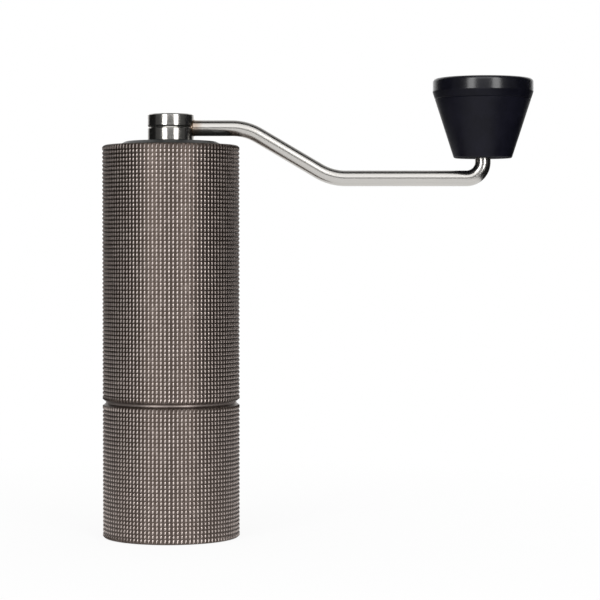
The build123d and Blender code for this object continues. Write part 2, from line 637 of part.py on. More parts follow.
def crank_hub():
    """Steel hub: a grooved cylinder over a stem that turns in the lid and drives the shaft."""
    groove_z = HUB_Z + HUB_GROOVE_HEIGHT
    hub = lathe([
        (0, STEM_Z),
        (STEM_R - HUB_CHAMFER, STEM_Z),
        (STEM_R, STEM_Z + HUB_CHAMFER),
        (STEM_R, HUB_Z),
        (HUB_R - HUB_CHAMFER, HUB_Z),
        (HUB_R, HUB_Z + HUB_CHAMFER),
        (HUB_R, groove_z - HUB_GROOVE_HALF_WIDTH),
        (HUB_R - HUB_GROOVE_DEPTH, groove_z),
        (HUB_R, groove_z + HUB_GROOVE_HALF_WIDTH),
        (HUB_R, HUB_TOP_Z - HUB_CHAMFER),
        (HUB_R - HUB_CHAMFER, HUB_TOP_Z),
        (0, HUB_TOP_Z),
    ])
    hub -= prism(DRIVE_SIDES, SHAFT_R + SOCKET_CLEARANCE, STEM_Z, SOCKET_TOP_Z)
    hub -= clip_groove(STEM_R, LID_CLIP_Z)
    hole = Pos(HUB_R - ARM_SEAT, 0, ARM_Z) * Rot(0, 90, 0) * Cylinder(
        ARM_R + PRESS_CLEARANCE, HUB_R, align=(Align.CENTER, Align.CENTER, Align.MIN)
    )
    return hub - hole


def crank_arm():
    """Bent rod from the hub, down and out, then up into the knob, with a turned spindle at its end."""
    second_bend = ARM_FIRST_BEND + ARM_DROP / math.tan(math.radians(ARM_SLOPE))
    start = (HUB_R - ARM_SEAT + SEAT_CLEARANCE, 0, ARM_Z)
    path = FilletPolyline(
        start,
        (ARM_FIRST_BEND, 0, ARM_Z),
        (second_bend, 0, ARM_LOW_Z),
        (ARM_REACH, 0, ARM_LOW_Z),
        (ARM_REACH, 0, SPINDLE_Z),
        radius=[ARM_BEND_RADIUS, ARM_BEND_RADIUS, ARM_END_BEND_RADIUS],
    )
    arm = sweep(Plane(origin=start, z_dir=(1, 0, 0)) * Circle(ARM_R), path=path)
    arm += rod(SPINDLE_R, SPINDLE_Z, SPINDLE_TOP_Z, ARM_REACH)
    return arm - clip_groove(SPINDLE_R, KNOB_CLIP_Z, ARM_REACH)


def knob_grip():
    """Conical grip, bored for its bush and open at the top under the cap."""
    entry_r = ARM_R + KNOB_ENTRY_CLEARANCE
    bush_r = SPINDLE_R + BUSH_WALL + PRESS_CLEARANCE
    flange_r = bush_r + BUSH_FLANGE_WALL
    recess_r = CAP_PLUG_R + PRESS_CLEARANCE
    grip = lathe([
        (entry_r, KNOB_Z),
        (KNOB_LOWER_R - KNOB_EDGE_CHAMFER, KNOB_Z),
        (KNOB_LOWER_R + KNOB_SLOPE * KNOB_EDGE_CHAMFER, KNOB_Z + KNOB_EDGE_CHAMFER),
        (KNOB_SEAM_R - KNOB_SLOPE * KNOB_SEAM_CHAMFER, KNOB_SEAM_Z - KNOB_SEAM_CHAMFER),
        (KNOB_SEAM_R - KNOB_SEAM_CHAMFER, KNOB_SEAM_Z),
        (recess_r, KNOB_SEAM_Z),
        (recess_r, KNOB_SEAM_Z - CAP_PLUG_DEPTH - SEAT_CLEARANCE),
        (flange_r, KNOB_FLOOR_Z),
        (bush_r, KNOB_FLOOR_Z),
        (bush_r, BUSH_Z),
        (entry_r, BUSH_Z),
    ])
    return Pos(ARM_REACH, 0, 0) * grip


def knob_cap():
    """Cap of the knob: the widest rim, a rounded top edge and a plug that seats in the grip."""
    profile = [
        (0, KNOB_TOP_Z - CAP_TOP_WALL),
        (CAP_PLUG_R - CAP_PLUG_WALL, KNOB_TOP_Z - CAP_TOP_WALL),
        (CAP_PLUG_R - CAP_PLUG_WALL, KNOB_SEAM_Z - CAP_PLUG_DEPTH),
        (CAP_PLUG_R, KNOB_SEAM_Z - CAP_PLUG_DEPTH),
        (CAP_PLUG_R, KNOB_SEAM_Z + PRESS_CLEARANCE),
        (KNOB_SEAM_R - KNOB_SEAM_CHAMFER, KNOB_SEAM_Z + PRESS_CLEARANCE),
        (KNOB_SEAM_R + KNOB_SLOPE * KNOB_SEAM_CHAMFER, KNOB_SEAM_Z + KNOB_SEAM_CHAMFER),
        (KNOB_UPPER_R, KNOB_WIDE_Z),
        (KNOB_UPPER_R, KNOB_TOP_Z),
        (0, KNOB_TOP_Z),
    ]
    return Pos(ARM_REACH, 0, 0) * lathe(profile, [(8, KNOB_RIM_ROUND)])


def knob_bush():
    """Flanged bush that turns on the spindle."""
    bore_r = SPINDLE_R + RUNNING_CLEARANCE
    bush_r = SPINDLE_R + BUSH_WALL
    flange_r = bush_r + BUSH_FLANGE_WALL
    bush = lathe([
        (bore_r, BUSH_Z + PRESS_CLEARANCE),
        (bush_r, BUSH_Z + PRESS_CLEARANCE),
        (bush_r, KNOB_FLOOR_Z),
        (flange_r, KNOB_FLOOR_Z),
        (flange_r, BUSH_TOP_Z),
        (bore_r, BUSH_TOP_Z),
    ])
    return Pos(ARM_REACH, 0, 0) * bush


def knob_washer():
    """Washer between the bush and its clip."""
    outer_r = SPINDLE_R + BUSH_WALL
    washer = ring(SPINDLE_R + SEAT_CLEARANCE, outer_r, KNOB_WASHER_Z, KNOB_WASHER_Z + KNOB_WASHER_THICKNESS)
    return Pos(ARM_REACH, 0, 0) * washer


def build_pieces():
    """Every piece by its name. A list is a group of separate solids."""
    upper_outer, upper_inner, upper_balls, upper_shields = bearing_pieces(UPPER_BEARING_Z)
    lower_outer, lower_inner, lower_balls, lower_shields = bearing_pieces(LOWER_BEARING_Z)
    detent_balls, detent_springs = detents()
    return {
        "catch_cup": catch_cup(),
        "grinder_body": grinder_body(),
        "upper_bracket": bracket(HOPPER_R, UPPER_LEDGE_Z, True),
        "lower_bracket": bracket(CHAMBER_R, LOWER_LEDGE_Z, False),
        "upper_bearing_outer_ring": upper_outer,
        "upper_bearing_shields": upper_shields,
        "upper_bearing_inner_ring": upper_inner,
        "upper_bearing_balls": upper_balls,
        "lower_bearing_outer_ring": lower_outer,
        "lower_bearing_shields": lower_shields,
        "lower_bearing_inner_ring": lower_inner,
        "lower_bearing_balls": lower_balls,
        "ring_burr": ring_burr(),
        "ring_burr_screws": burr_screws(),
        "cone_burr": cone_burr(),
        "click_plate": click_plate(),
        "drive_shaft": drive_shaft(),
        "shaft_clip": shaft_clip(SHAFT_R, SHAFT_CLIP_Z),
        "burr_spring": burr_spring(),
        "spring_washer": spring_washer(),
        "grind_dial": grind_dial(),
        "detent_balls": detent_balls,
        "detent_springs": detent_springs,
        "lid": lid(),
        "lid_clip": shaft_clip(STEM_R, LID_CLIP_Z),
        "crank_hub": crank_hub(),
        "crank_arm": crank_arm(),
        "knob_grip": knob_grip(),
        "knob_cap": knob_cap(),
        "knob_bush": knob_bush(),
        "knob_washer": knob_washer(),
        "knob_clip": shaft_clip(SPINDLE_R, KNOB_CLIP_Z, ARM_REACH),
    }


os.makedirs("parts", exist_ok=True)
for name, shape in build_pieces().items():
    solids = Compound(children=list(shape)) if isinstance(shape, list) else shape
    export_step(solids, f"parts/{name}.step")
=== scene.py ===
"""Looks of a hand crank coffee grinder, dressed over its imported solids.

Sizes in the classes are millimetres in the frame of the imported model: +Z up, the shaft on the Z axis, the
crank along +X. Meshes and the scene are in metres.
"""
import json
import logging
import math
from abc import ABC, abstractmethod
from dataclasses import dataclass, field
from enum import Enum
from typing import Optional, Sequence, Union

import bpy
import numpy as np
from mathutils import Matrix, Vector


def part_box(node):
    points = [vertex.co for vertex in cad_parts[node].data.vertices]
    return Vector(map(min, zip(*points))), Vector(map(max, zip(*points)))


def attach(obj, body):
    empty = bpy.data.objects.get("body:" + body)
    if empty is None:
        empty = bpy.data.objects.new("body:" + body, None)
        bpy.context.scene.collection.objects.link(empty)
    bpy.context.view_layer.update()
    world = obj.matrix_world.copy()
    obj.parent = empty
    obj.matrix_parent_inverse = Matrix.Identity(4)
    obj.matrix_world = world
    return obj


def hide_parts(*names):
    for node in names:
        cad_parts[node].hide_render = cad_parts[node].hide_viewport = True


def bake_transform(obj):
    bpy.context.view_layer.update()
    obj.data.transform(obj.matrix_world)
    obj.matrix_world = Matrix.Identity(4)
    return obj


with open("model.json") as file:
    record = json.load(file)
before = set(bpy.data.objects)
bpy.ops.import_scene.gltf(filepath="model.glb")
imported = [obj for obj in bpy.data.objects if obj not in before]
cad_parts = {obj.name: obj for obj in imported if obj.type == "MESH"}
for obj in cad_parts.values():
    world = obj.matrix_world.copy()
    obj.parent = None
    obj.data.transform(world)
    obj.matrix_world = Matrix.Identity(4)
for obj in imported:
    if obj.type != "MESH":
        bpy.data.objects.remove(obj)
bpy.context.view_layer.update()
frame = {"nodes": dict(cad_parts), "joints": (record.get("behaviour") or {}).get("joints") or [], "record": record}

MM = 0.001
TURN = 2.0 * math.pi
LOG = logging.getLogger("grinder")

# Relief of a surface without a knurl, low, so that the finish paints it with the grooves' dark painted shade; radius
# of the ring round a centre point; and run of an even chamfer
PLAIN_RELIEF = 0.08
CENTRE_R = 0.5
EVEN_CHAMFER = 1.0

# The hub's radius, and how far below its top the rod's axis lies
HUB_R = 8.8
ARM_DEPTH = 5.2

# Contrast and proportions of the effects
MOTTLE_CELLS = 30.0
MOTTLE_SPAN = (0.3, 0.7)
LINE_SPAN = (0.25, 0.75)
LINE_STRETCH = 80.0
HEAT_CORE = 0.35

Array = np.ndarray
Colour = tuple[float, float, float]
Point = tuple[float, float, float]
Corner = tuple[float, float, float]
Piece = bpy.types.Object
Mesh = bpy.types.Mesh
Tree = bpy.types.NodeTree
Node = bpy.types.Node
Socket = bpy.types.NodeSocket
Value = Union[Socket, float]
Paint = Union[Socket, Colour]
Setting = Union[Socket, float, Sequence[float]]


class Ends(Enum):
    """How the rings of a surface close."""

    LOOP = "the last ring joins the first"
    CENTRES = "a centre point closes the first and the last ring"


class Marks(Enum):
    """Marks that a way of working leaves on a metal."""

    TURNED = "fine rings about an upright axis"
    DRAWN = "fine lines along a rod"
    BLASTED = "an even fine grain"


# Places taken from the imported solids


def levels(node: str) -> tuple[float, float]:
    """Gives the lowest and the highest level of a solid, in millimetres."""
    low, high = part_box(node)
    return low.z / MM, high.z / MM


def joint_x(name: str) -> float:
    """Gives how far along X the axis of a joint stands, in millimetres."""
    return next(joint["pos_m"][0] for joint in frame["joints"] if joint["name"] == name) / MM


# Surfaces


@dataclass
class Band:
    """Rings of points about an axis: radius, height and relief, each as (rings, columns)."""

    radius: Array
    height: Array
    relief: Array

    @classmethod
    def plain(cls, section: Array, columns: int, relief: float = PLAIN_RELIEF) -> "Band":
        """Carries a section round the axis.

        Args:
            section: (radius, height) rows.
            columns: points in a ring.
            relief: value of the relief attribute all over the band.

        Returns:
            The band, every ring a circle.
        """
        shape = (len(section), columns)
        radius = np.broadcast_to(section[:, :1], shape)
        height = np.broadcast_to(section[:, 1:2], shape)
        return cls(radius, height, np.full(shape, relief))

    @classmethod
    def stack(cls, bands: Sequence["Band"]) -> "Band":
        """Joins bands, one after another along the profile."""
        return cls(*(np.concatenate([getattr(b, name) for b in bands]) for name in ("radius", "height", "relief")))

    def points(self, angles: Array, axis_x: float = 0.0) -> Array:
        """Places the rings in space: x = axis + r cos a, y = r sin a, z = height.

        Args:
            angles: angle of each column.
            axis_x: where the upright axis stands on the X axis.

        Returns:
            Points as (rings, columns, 3).
        """
        across, away = self.radius * np.cos(angles), self.radius * np.sin(angles)
        return np.stack([axis_x + across, away, np.broadcast_to(self.height, self.radius.shape)], axis=-1)


def outline(corners: Sequence[Corner], steps: int = 4) -> Array:
    """Open outline with arcs in place of its corners.

    At a corner P with round r, the arc starts and ends r / tan(half the corner's angle) from P. Its points are
    a rational Bezier curve over start, P and end with the weight sin(half the angle), which is a true arc.

    Args:
        corners: (radius or x, height, round) rows.
        steps: pieces of each arc.

    Returns:
        Points of the outline as (n, 2).
    """
    rows = np.asarray(corners, float)
    share = np.linspace(0.0, 1.0, steps + 1)[:, None]
    parts = []
    for index, (x, z, round_r) in enumerate(rows):
        corner = np.array([x, z])
        if round_r <= 0.0 or index in (0, len(rows) - 1):
            parts.append(corner[None, :])
            continue
        back = rows[index - 1, :2] - corner
        ahead = rows[index + 1, :2] - corner
        back /= np.linalg.norm(back)
        ahead /= np.linalg.norm(ahead)
        half = 0.5 * math.acos(float(np.clip(back @ ahead, -1.0, 1.0)))
        reach = round_r / math.tan(half)
        weight = math.sin(half)
        near, middle, far = (1 - share) ** 2, 2 * share * (1 - share) * weight, share ** 2
        arc = near * (corner + reach * back) + middle * corner + far * (corner + reach * ahead)
        parts.append(arc / (near + middle + far))
    return np.concatenate(parts)


def even_angles(columns: int) -> Array:
    """Angles of evenly spaced columns."""
    return TURN * np.arange(columns) / columns


def tube(line: Array, outward: Array, side: Array, radius: Union[Array, float], columns: int) -> Array:
    """Circles about a line: a point is the line's point + radius (outward cos a + side sin a).

    Args:
        line: centre of each circle as (rings, 3).
        outward: first direction of each circle, square to the line.
        side: second direction, the line's direction crossed with the first.
        radius: radius of each circle, or of all.
        columns: points in a circle.

    Returns:
        Points as (rings, columns, 3).
    """
    angles = even_angles(columns)[None, :, None]
    circles = np.cos(angles) * outward[:, None, :] + np.sin(angles) * side[:, None, :]
    return line[:, None, :] + np.reshape(radius, (-1, 1, 1)) * circles


def ring_faces(rings: int, columns: int, ends: Ends) -> tuple[Array, Array]:
    """Faces between rings of points that close round.

    Args:
        rings: number of rings.
        columns: points in a ring.
        ends: how the first and the last ring close.

    Returns:
        Quads as (n, 4) and triangles as (m, 3). With centres, the two centre points come after the rings.
    """
    this = np.arange(columns)
    following = (this + 1) % columns
    lower = np.arange(rings if ends is Ends.LOOP else rings - 1)[:, None] * columns
    upper = (lower + columns) % (rings * columns)
    quads = np.stack([lower + this, lower + following, upper + following, upper + this], axis=-1).reshape(-1, 4)
    if ends is Ends.LOOP:
        return quads, np.zeros((0, 3), int)
    last = (rings - 1) * columns
    first_centre = np.full(columns, rings * columns)
    fans = [
        np.stack([first_centre, following, this], axis=-1),
        np.stack([first_centre + 1, last + this, last + following], axis=-1),
    ]
    return quads, np.concatenate(fans)


@dataclass
class Skin:
    """A closed surface of rings, ready to be made a mesh."""

    name: str
    points: Array
    ends: Ends
    sharp_angle: float
    relief: Optional[Array] = None
    length_map: Optional[tuple[Array, Array]] = None
    round_crests: bool = False

    def make(self) -> Piece:
        """Puts the rings into a mesh object at the origin.

        Returns:
            The object, smooth apart from edges sharper than sharp_angle. With round_crests, points whose
            relief is 1 have no sharp edges.
        """
        rings, columns, _ = self.points.shape
        quads, triangles = ring_faces(rings, columns, self.ends)
        places = self.points.reshape(-1, 3)
        if self.ends is Ends.CENTRES:
            places = np.concatenate([places, self.points[[0, -1]].mean(axis=1)])
        corners = np.concatenate([quads.ravel(), triangles.ravel()])
        starts = np.concatenate([
            4 * np.arange(len(quads)), 4 * len(quads) + 3 * np.arange(len(triangles))
        ])
        mesh = bpy.data.meshes.new(self.name)
        mesh.vertices.add(len(places))
        mesh.vertices.foreach_set("co", (places * MM).astype(np.float32).ravel())
        mesh.loops.add(len(corners))
        mesh.loops.foreach_set("vertex_index", corners.astype(np.int32))
        mesh.polygons.add(len(starts))
        mesh.polygons.foreach_set("loop_start", starts.astype(np.int32))
        mesh.update(calc_edges=True)
        mesh.polygons.foreach_set("use_smooth", np.ones(len(starts), bool))
        mesh.set_sharp_from_angle(angle=math.radians(self.sharp_angle))
        if self.relief is not None:
            self._store_relief(mesh, len(places))
        if self.round_crests:
            self._round_crests(mesh)
        if self.length_map is not None:
            self._store_length_map(mesh, len(triangles))
        mesh.validate()
        piece = bpy.data.objects.new(self.name, mesh)
        bpy.context.scene.collection.objects.link(piece)
        return piece

    def _store_relief(self, mesh: Mesh, count: int) -> None:
        """Stores the relief as a point attribute, 0 in a groove and 1 on a crest.

        Args:
            mesh: the piece's mesh.
            count: number of its points, the centre points among them.
        """
        values = np.full(count, PLAIN_RELIEF, np.float32)
        values[: self.relief.size] = self.relief.ravel()
        mesh.attributes.new("relief", "FLOAT", "POINT").data.foreach_set("value", values)

    def _round_crests(self, mesh: Mesh) -> None:
        """Clears the sharp mark from the edges that meet at a crest.

        Args:
            mesh: the piece's mesh.
        """
        ends = np.zeros(2 * len(mesh.edges), np.int32)
        mesh.edges.foreach_get("vertices", ends)
        crest = np.zeros(len(mesh.vertices), bool)
        crest[: self.relief.size] = self.relief.ravel() >= 1.0
        marks = mesh.attributes["sharp_edge"].data
        sharp = np.zeros(len(marks), bool)
        marks.foreach_get("value", sharp)
        marks.foreach_set("value", sharp & ~crest[ends.reshape(-1, 2)].any(axis=1))

    def _store_length_map(self, mesh: Mesh, caps: int) -> None:
        """Stores a map whose first value runs along the rod and whose second runs round it, in metres.

        Args:
            mesh: the piece's mesh.
            caps: number of triangles at its ends, which lie at the map's origin.
        """
        along, around = self.length_map
        shape = (len(along) - 1, len(around) - 1)
        low, high = (np.broadcast_to(part[:, None], shape) for part in (along[:-1], along[1:]))
        left, right = (np.broadcast_to(part, shape) for part in (around[:-1], around[1:]))
        corners = np.stack([low, left, low, right, high, right, high, left], axis=-1).reshape(-1)
        ends = np.zeros(2 * 3 * caps)
        layer = mesh.uv_layers.new(name="along_and_round")
        layer.data.foreach_set("uv", (np.concatenate([corners, ends]) * MM).astype(np.float32))


@dataclass(frozen=True)
class Knurl:
    """Upright ridges parted into rows by level grooves, with flat bottoms between ridges and along grooves.

    Foot, land and bottom are shares of a pitch. Shade and end relief are on the scale of the relief. The finish
    paints by the relief: a dark painted shade in the grooves and on the chamfers at both ends, and a pale painted
    highlight on the crests.
    """

    columns: int = 104
    ridge_height: float = 0.4
    ridge_foot: float = 0.5
    level_depth: float = 0.32
    level_land: float = 0.32
    level_bottom: float = 0.2
    level_shade: float = 0.92
    end_relief: float = 0.05

    def angles(self) -> Array:
        """Angle of every column of points: the two feet and the top of each ridge."""
        across = 0.5 + np.array([-0.5, 0.0, 0.5]) * self.ridge_foot
        return TURN * (np.arange(self.columns)[:, None] + across).ravel() / self.columns

    def band(
        self, crest_r: float, low_z: float, high_z: float, rows: int, low_run: float, high_run: float
    ) -> Band:
        """Knurled band between two chamfers.

        The radius at a point is the crest's less the deeper of two cuts: the upright one, whole at a ridge's
        feet and none at its top, and the level one, whole along a groove's bottom and none on the lands between.
        At both ends an upright groove runs out on the chamfer, so there its point goes down or up by its cut
        times the chamfer's run.

        Args:
            crest_r: radius over the crests.
            low_z: level where the lower chamfer ends.
            high_z: level where the upper chamfer starts.
            rows: crests from one end to the other.
            low_run: height of the lower chamfer for each unit of its radius.
            high_run: the same for the upper chamfer.

        Returns:
            The band, with the relief 0 between the ridges and 1 on the crests.
        """
        pitch = (high_z - low_z) / rows
        mouth, bottom = 0.5 - 0.5 * self.level_land, 0.5 * self.level_bottom
        across = np.array([-mouth, -bottom, bottom, mouth])
        grooves = low_z + pitch * (np.arange(1, rows)[:, None] + across).ravel()
        heights = np.concatenate([[low_z], grooves, [high_z]])[:, None]
        level = np.concatenate([[0.0], np.tile([0.0, 1.0, 1.0, 0.0], rows - 1), [0.0]])[:, None]
        upright = np.tile([1.0, 0.0, 1.0], self.columns)[None, :]
        cuts = np.maximum(level * self.level_depth, upright * self.ridge_height)
        height = np.broadcast_to(heights, cuts.shape).copy()
        height[0] -= cuts[0] * low_run
        height[-1] += cuts[-1] * high_run
        # The relief paints the finish: painted shade in the grooves and at the ends, painted highlight on the crests
        relief = 1.0 - np.maximum(self.level_shade * level, upright)
        relief[[0, -1]] = self.end_relief
        return Band(crest_r - cuts, height, relief)


@dataclass(frozen=True)
class Thread:
    """Screw thread on a round wall, with a number of rings of points to each pitch.

    Root and flank are shares of half a pitch. The relief is highest on the crest and falls by the shade to the root,
    so the finish paints the thread with the grooves' dark painted shade, darkest in the root.
    """

    pitch: float = 1.5
    rings: int = 6
    root: float = 0.25
    flank: float = 0.5
    crest_relief: float = 0.09
    root_shade: float = 0.05

    def band(self, radius: float, cut: float, low_z: float, high_z: float, angles: Array) -> Band:
        """Threaded band of a wall.

        The wave is a trapezoid of the phase height / pitch - angle / turn, 1 on the crest and 0 at the root.
        The root lies cut further along the radius than the crest, and the cut fades out over half a pitch at
        each end.

        Args:
            radius: radius of the crest.
            cut: signed depth of the root, below zero for a thread on an outside.
            low_z: level of the first ring.
            high_z: level of the last ring.
            angles: angle of each column.

        Returns:
            The band.
        """
        heights = np.linspace(low_z, high_z, 2 + int(self.rings * abs(high_z - low_z) / self.pitch))
        phase = (heights[:, None] / self.pitch - angles[None, :] / TURN) % 1.0
        wave = np.clip((1.0 - np.abs(2.0 * phase - 1.0) - self.root) / self.flank, 0.0, 1.0)
        room = np.minimum(np.abs(heights - low_z), np.abs(heights - high_z)) / (0.5 * self.pitch)
        depth = (1.0 - wave) * np.clip(room, 0.0, 1.0)[:, None]
        level = np.broadcast_to(heights[:, None], depth.shape)
        return Band(radius + cut * depth, level, self.crest_relief - self.root_shade * depth)


# Finishes


class Sockets:
    """Nodes and links of one tree, with short calls to add them."""

    def __init__(self, tree: Tree) -> None:
        """Takes the tree that the nodes go into."""
        self.tree = tree

    @classmethod
    def fresh(cls, owner: Union[bpy.types.Material, bpy.types.World]) -> "Sockets":
        """Empties the nodes of a material or a world.

        Args:
            owner: the material or world.

        Returns:
            Its empty tree.
        """
        owner.use_nodes = True
        owner.node_tree.nodes.clear()
        return cls(owner.node_tree)

    def node(self, kind: str, settings: Optional[dict] = None, **inputs: Setting) -> Node:
        """Adds a node.

        Args:
            kind: the node's type without its ShaderNode prefix.
            settings: properties of the node itself.
            inputs: values or sockets for its inputs, by name with spaces as underscores.

        Returns:
            The node.
        """
        made = self.tree.nodes.new("ShaderNode" + kind)
        for name, value in (settings or {}).items():
            setattr(made, name, value)
        for name, value in inputs.items():
            self.feed(made.inputs[name.replace("_", " ")], value)
        return made

    def feed(self, socket: Socket, value: Setting) -> None:
        """Links a socket, or sets its value.

        Args:
            socket: the input.
            value: an output to link, or a number, vector or colour to set.
        """
        if isinstance(value, Socket):
            self.tree.links.new(value, socket)
        elif socket.type == "RGBA":
            socket.default_value = (*value, 1.0)
        else:
            socket.default_value = value

    def math(self, operation: str, *values: Value) -> Socket:
        """Adds a Math node.

        Args:
            operation: name of the operation.
            values: up to three numbers or sockets.

        Returns:
            Its result.
        """
        made = self.node("Math", {"operation": operation})
        for socket, value in zip(made.inputs, values):
            self.feed(socket, value)
        return made.outputs[0]

    def span(self, value: Socket, low: float, high: float, to_low: float, to_high: float) -> Socket:
        """Maps a value from one range to another, clamped, and gives the result."""
        limits = {"From_Min": low, "From_Max": high, "To_Min": to_low, "To_Max": to_high}
        return self.node("MapRange", {"clamp": True}, Value=value, **limits).outputs["Result"]

    def mix(self, share: Socket, first: Paint, second: Paint) -> Socket:
        """Mixes two colours.

        Args:
            share: 0 for the first colour, 1 for the second.
            first: the first colour.
            second: the second colour.

        Returns:
            The mixed colour.
        """
        made = self.node("Mix", {"data_type": "RGBA"})
        self.feed(made.inputs["Factor"], share)
        colours = [s for s in made.inputs if s.type == "RGBA"]
        self.feed(colours[0], first)
        self.feed(colours[1], second)
        return next(s for s in made.outputs if s.type == "RGBA")

    def mix_shaders(self, share: Socket, first: Node, second: Node) -> Socket:
        """Mixes two shaders.

        Args:
            share: 0 for the first shader, 1 for the second.
            first: the first shader's node.
            second: the second shader's node.

        Returns:
            The mixed shader.
        """
        made = self.node("MixShader", Fac=share)
        self.feed(made.inputs[1], first.outputs[0])
        self.feed(made.inputs[2], second.outputs[0])
        return made.outputs[0]


class Effect(Enum):
    """Effects that the finishes are made of, each one node group."""

    GRAIN = "fine_grain"
    TURNED = "turned_lines"
    DRAWN = "drawn_lines"
    HEAT = "heat_tint"

    def tree(self) -> Tree:
        """Gives the effect's node group, which is built at its first use.

        Returns:
            The group's tree.
        """
        found = bpy.data.node_groups.get(self.value)
        if found is not None:
            return found
        made = bpy.data.node_groups.new(self.value, "ShaderNodeTree")
        made.interface.new_socket("Vector", in_out="INPUT", socket_type="NodeSocketVector")
        build = {
            Effect.GRAIN: self._grain,
            Effect.TURNED: self._turned,
            Effect.DRAWN: self._drawn,
            Effect.HEAT: self._heat,
        }[self]
        build(made)
        return made

    def place(self, sockets: Sockets, vector: Socket, **inputs: Setting) -> Node:
        """Puts the effect into a material.

        Args:
            sockets: the material's nodes.
            vector: coordinates that the effect reads.
            inputs: its other values, by name.

        Returns:
            The group node.
        """
        made = sockets.node("Group", {"node_tree": self.tree()})
        sockets.feed(made.inputs["Vector"], vector)
        for name, value in inputs.items():
            sockets.feed(made.inputs[name], value)
        return made

    @staticmethod
    def _ends(tree: Tree, values: Sequence[str], results: Sequence[str]) -> tuple[Sockets, Node, Node]:
        """Adds a group's value inputs and result outputs, and its two end nodes.

        Args:
            tree: the group's tree.
            values: names of its inputs.
            results: names of its outputs.

        Returns:
            The tree's nodes, its input node and its output node.
        """
        for name in values:
            tree.interface.new_socket(name, in_out="INPUT", socket_type="NodeSocketFloat")
        for name in results:
            tree.interface.new_socket(name, in_out="OUTPUT", socket_type="NodeSocketFloat")
        return Sockets(tree), tree.nodes.new("NodeGroupInput"), tree.nodes.new("NodeGroupOutput")

    @staticmethod
    def _grain(tree: Tree) -> None:
        """Grain: a noise with cells of the given size, and a mottle thirty times as large.

        Args:
            tree: the group's tree.
        """
        sockets, start, end = Effect._ends(tree, ["Size"], ["Height", "Mottle"])
        scale = sockets.math("DIVIDE", 1.0, start.outputs["Size"])
        fine = sockets.node("TexNoise", Vector=start.outputs["Vector"], Scale=scale, Detail=3.0, Roughness=0.6)
        broad_scale = sockets.math("DIVIDE", scale, MOTTLE_CELLS)
        broad = sockets.node("TexNoise", Vector=start.outputs["Vector"], Scale=broad_scale, Detail=2.0)
        sockets.feed(end.inputs["Height"], fine.outputs[0])
        sockets.feed(end.inputs["Mottle"], sockets.span(broad.outputs[0], *MOTTLE_SPAN, 0.0, 1.0))

    @staticmethod
    def _turned(tree: Tree) -> None:
        """Turned lines: a noise of (height + distance from the axis) / pitch, so rings on walls and faces alike.

        Args:
            tree: the group's tree.
        """
        sockets, start, end = Effect._ends(tree, ["Pitch"], ["Lines"])
        parts = sockets.node("SeparateXYZ", Vector=start.outputs["Vector"])
        squares = [sockets.math("POWER", parts.outputs[axis], 2.0) for axis in "XY"]
        across = sockets.math("SQRT", sockets.math("ADD", *squares))
        place = sockets.math("DIVIDE", sockets.math("ADD", parts.outputs["Z"], across), start.outputs["Pitch"])
        lines = sockets.node("TexNoise", {"noise_dimensions": "1D"}, W=place, Scale=1.0, Detail=2.0, Roughness=0.7)
        sockets.feed(end.inputs["Lines"], sockets.span(lines.outputs[0], *LINE_SPAN, 0.0, 1.0))

    @staticmethod
    def _drawn(tree: Tree) -> None:
        """Drawn lines: a noise that is eighty times as long along the rod as round it.

        Args:
            tree: the group's tree.
        """
        sockets, start, end = Effect._ends(tree, ["Pitch"], ["Lines"])
        parts = sockets.node("SeparateXYZ", Vector=start.outputs["Vector"])
        along, around = (sockets.math("DIVIDE", parts.outputs[axis], start.outputs["Pitch"]) for axis in "XY")
        place = sockets.node("CombineXYZ", X=sockets.math("DIVIDE", along, LINE_STRETCH), Y=around)
        lines = sockets.node("TexNoise", Vector=place.outputs[0], Scale=1.0, Detail=2.0, Roughness=0.6)
        sockets.feed(end.inputs["Lines"], sockets.span(lines.outputs[0], *LINE_SPAN, 0.0, 1.0))

    @staticmethod
    def _heat(tree: Tree) -> None:
        """Heat tint: 1 at a point where two parts are joined, fading to 0 at the given reach.

        Args:
            tree: the group's tree.
        """
        tree.interface.new_socket("Centre", in_out="INPUT", socket_type="NodeSocketVector")
        sockets, start, end = Effect._ends(tree, ["Reach"], ["Mask"])
        away = sockets.node("VectorMath", {"operation": "DISTANCE"})
        sockets.feed(away.inputs[0], start.outputs["Vector"])
        sockets.feed(away.inputs[1], start.outputs["Centre"])
        share = sockets.math("DIVIDE", away.outputs["Value"], start.outputs["Reach"])
        sockets.feed(end.inputs["Mask"], sockets.span(share, HEAT_CORE, 1.0, 1.0, 0.0))


@dataclass(frozen=True)
class Finish(ABC):
    """A surface finish. Its material is made at the first use and shared after that."""

    name: str

    def material(self) -> bpy.types.Material:
        """Gives the finish's material.

        Returns:
            The material, made at the first call.
        """
        found = bpy.data.materials.get("finish_" + self.name)
        if found is not None:
            return found
        made = bpy.data.materials.new("finish_" + self.name)
        sockets = Sockets.fresh(made)
        shader = sockets.node("BsdfPrincipled")
        sockets.node("OutputMaterial", Surface=shader.outputs[0])
        self.fill(sockets, shader)
        return made

    @abstractmethod
    def fill(self, sockets: Sockets, shader: Node) -> None:
        """Sets and links the shader.

        Args:
            sockets: the material's nodes.
            shader: its Principled node.
        """

    @staticmethod
    def bump(sockets: Sockets, shader: Node, height: Socket, depth: float, strength: float = 0.3) -> None:
        """Feeds a height to the shader's normal through a Bump node."""
        made = sockets.node("Bump", Strength=strength, Distance=depth * MM, Height=height)
        sockets.feed(shader.inputs["Normal"], made.outputs[0])


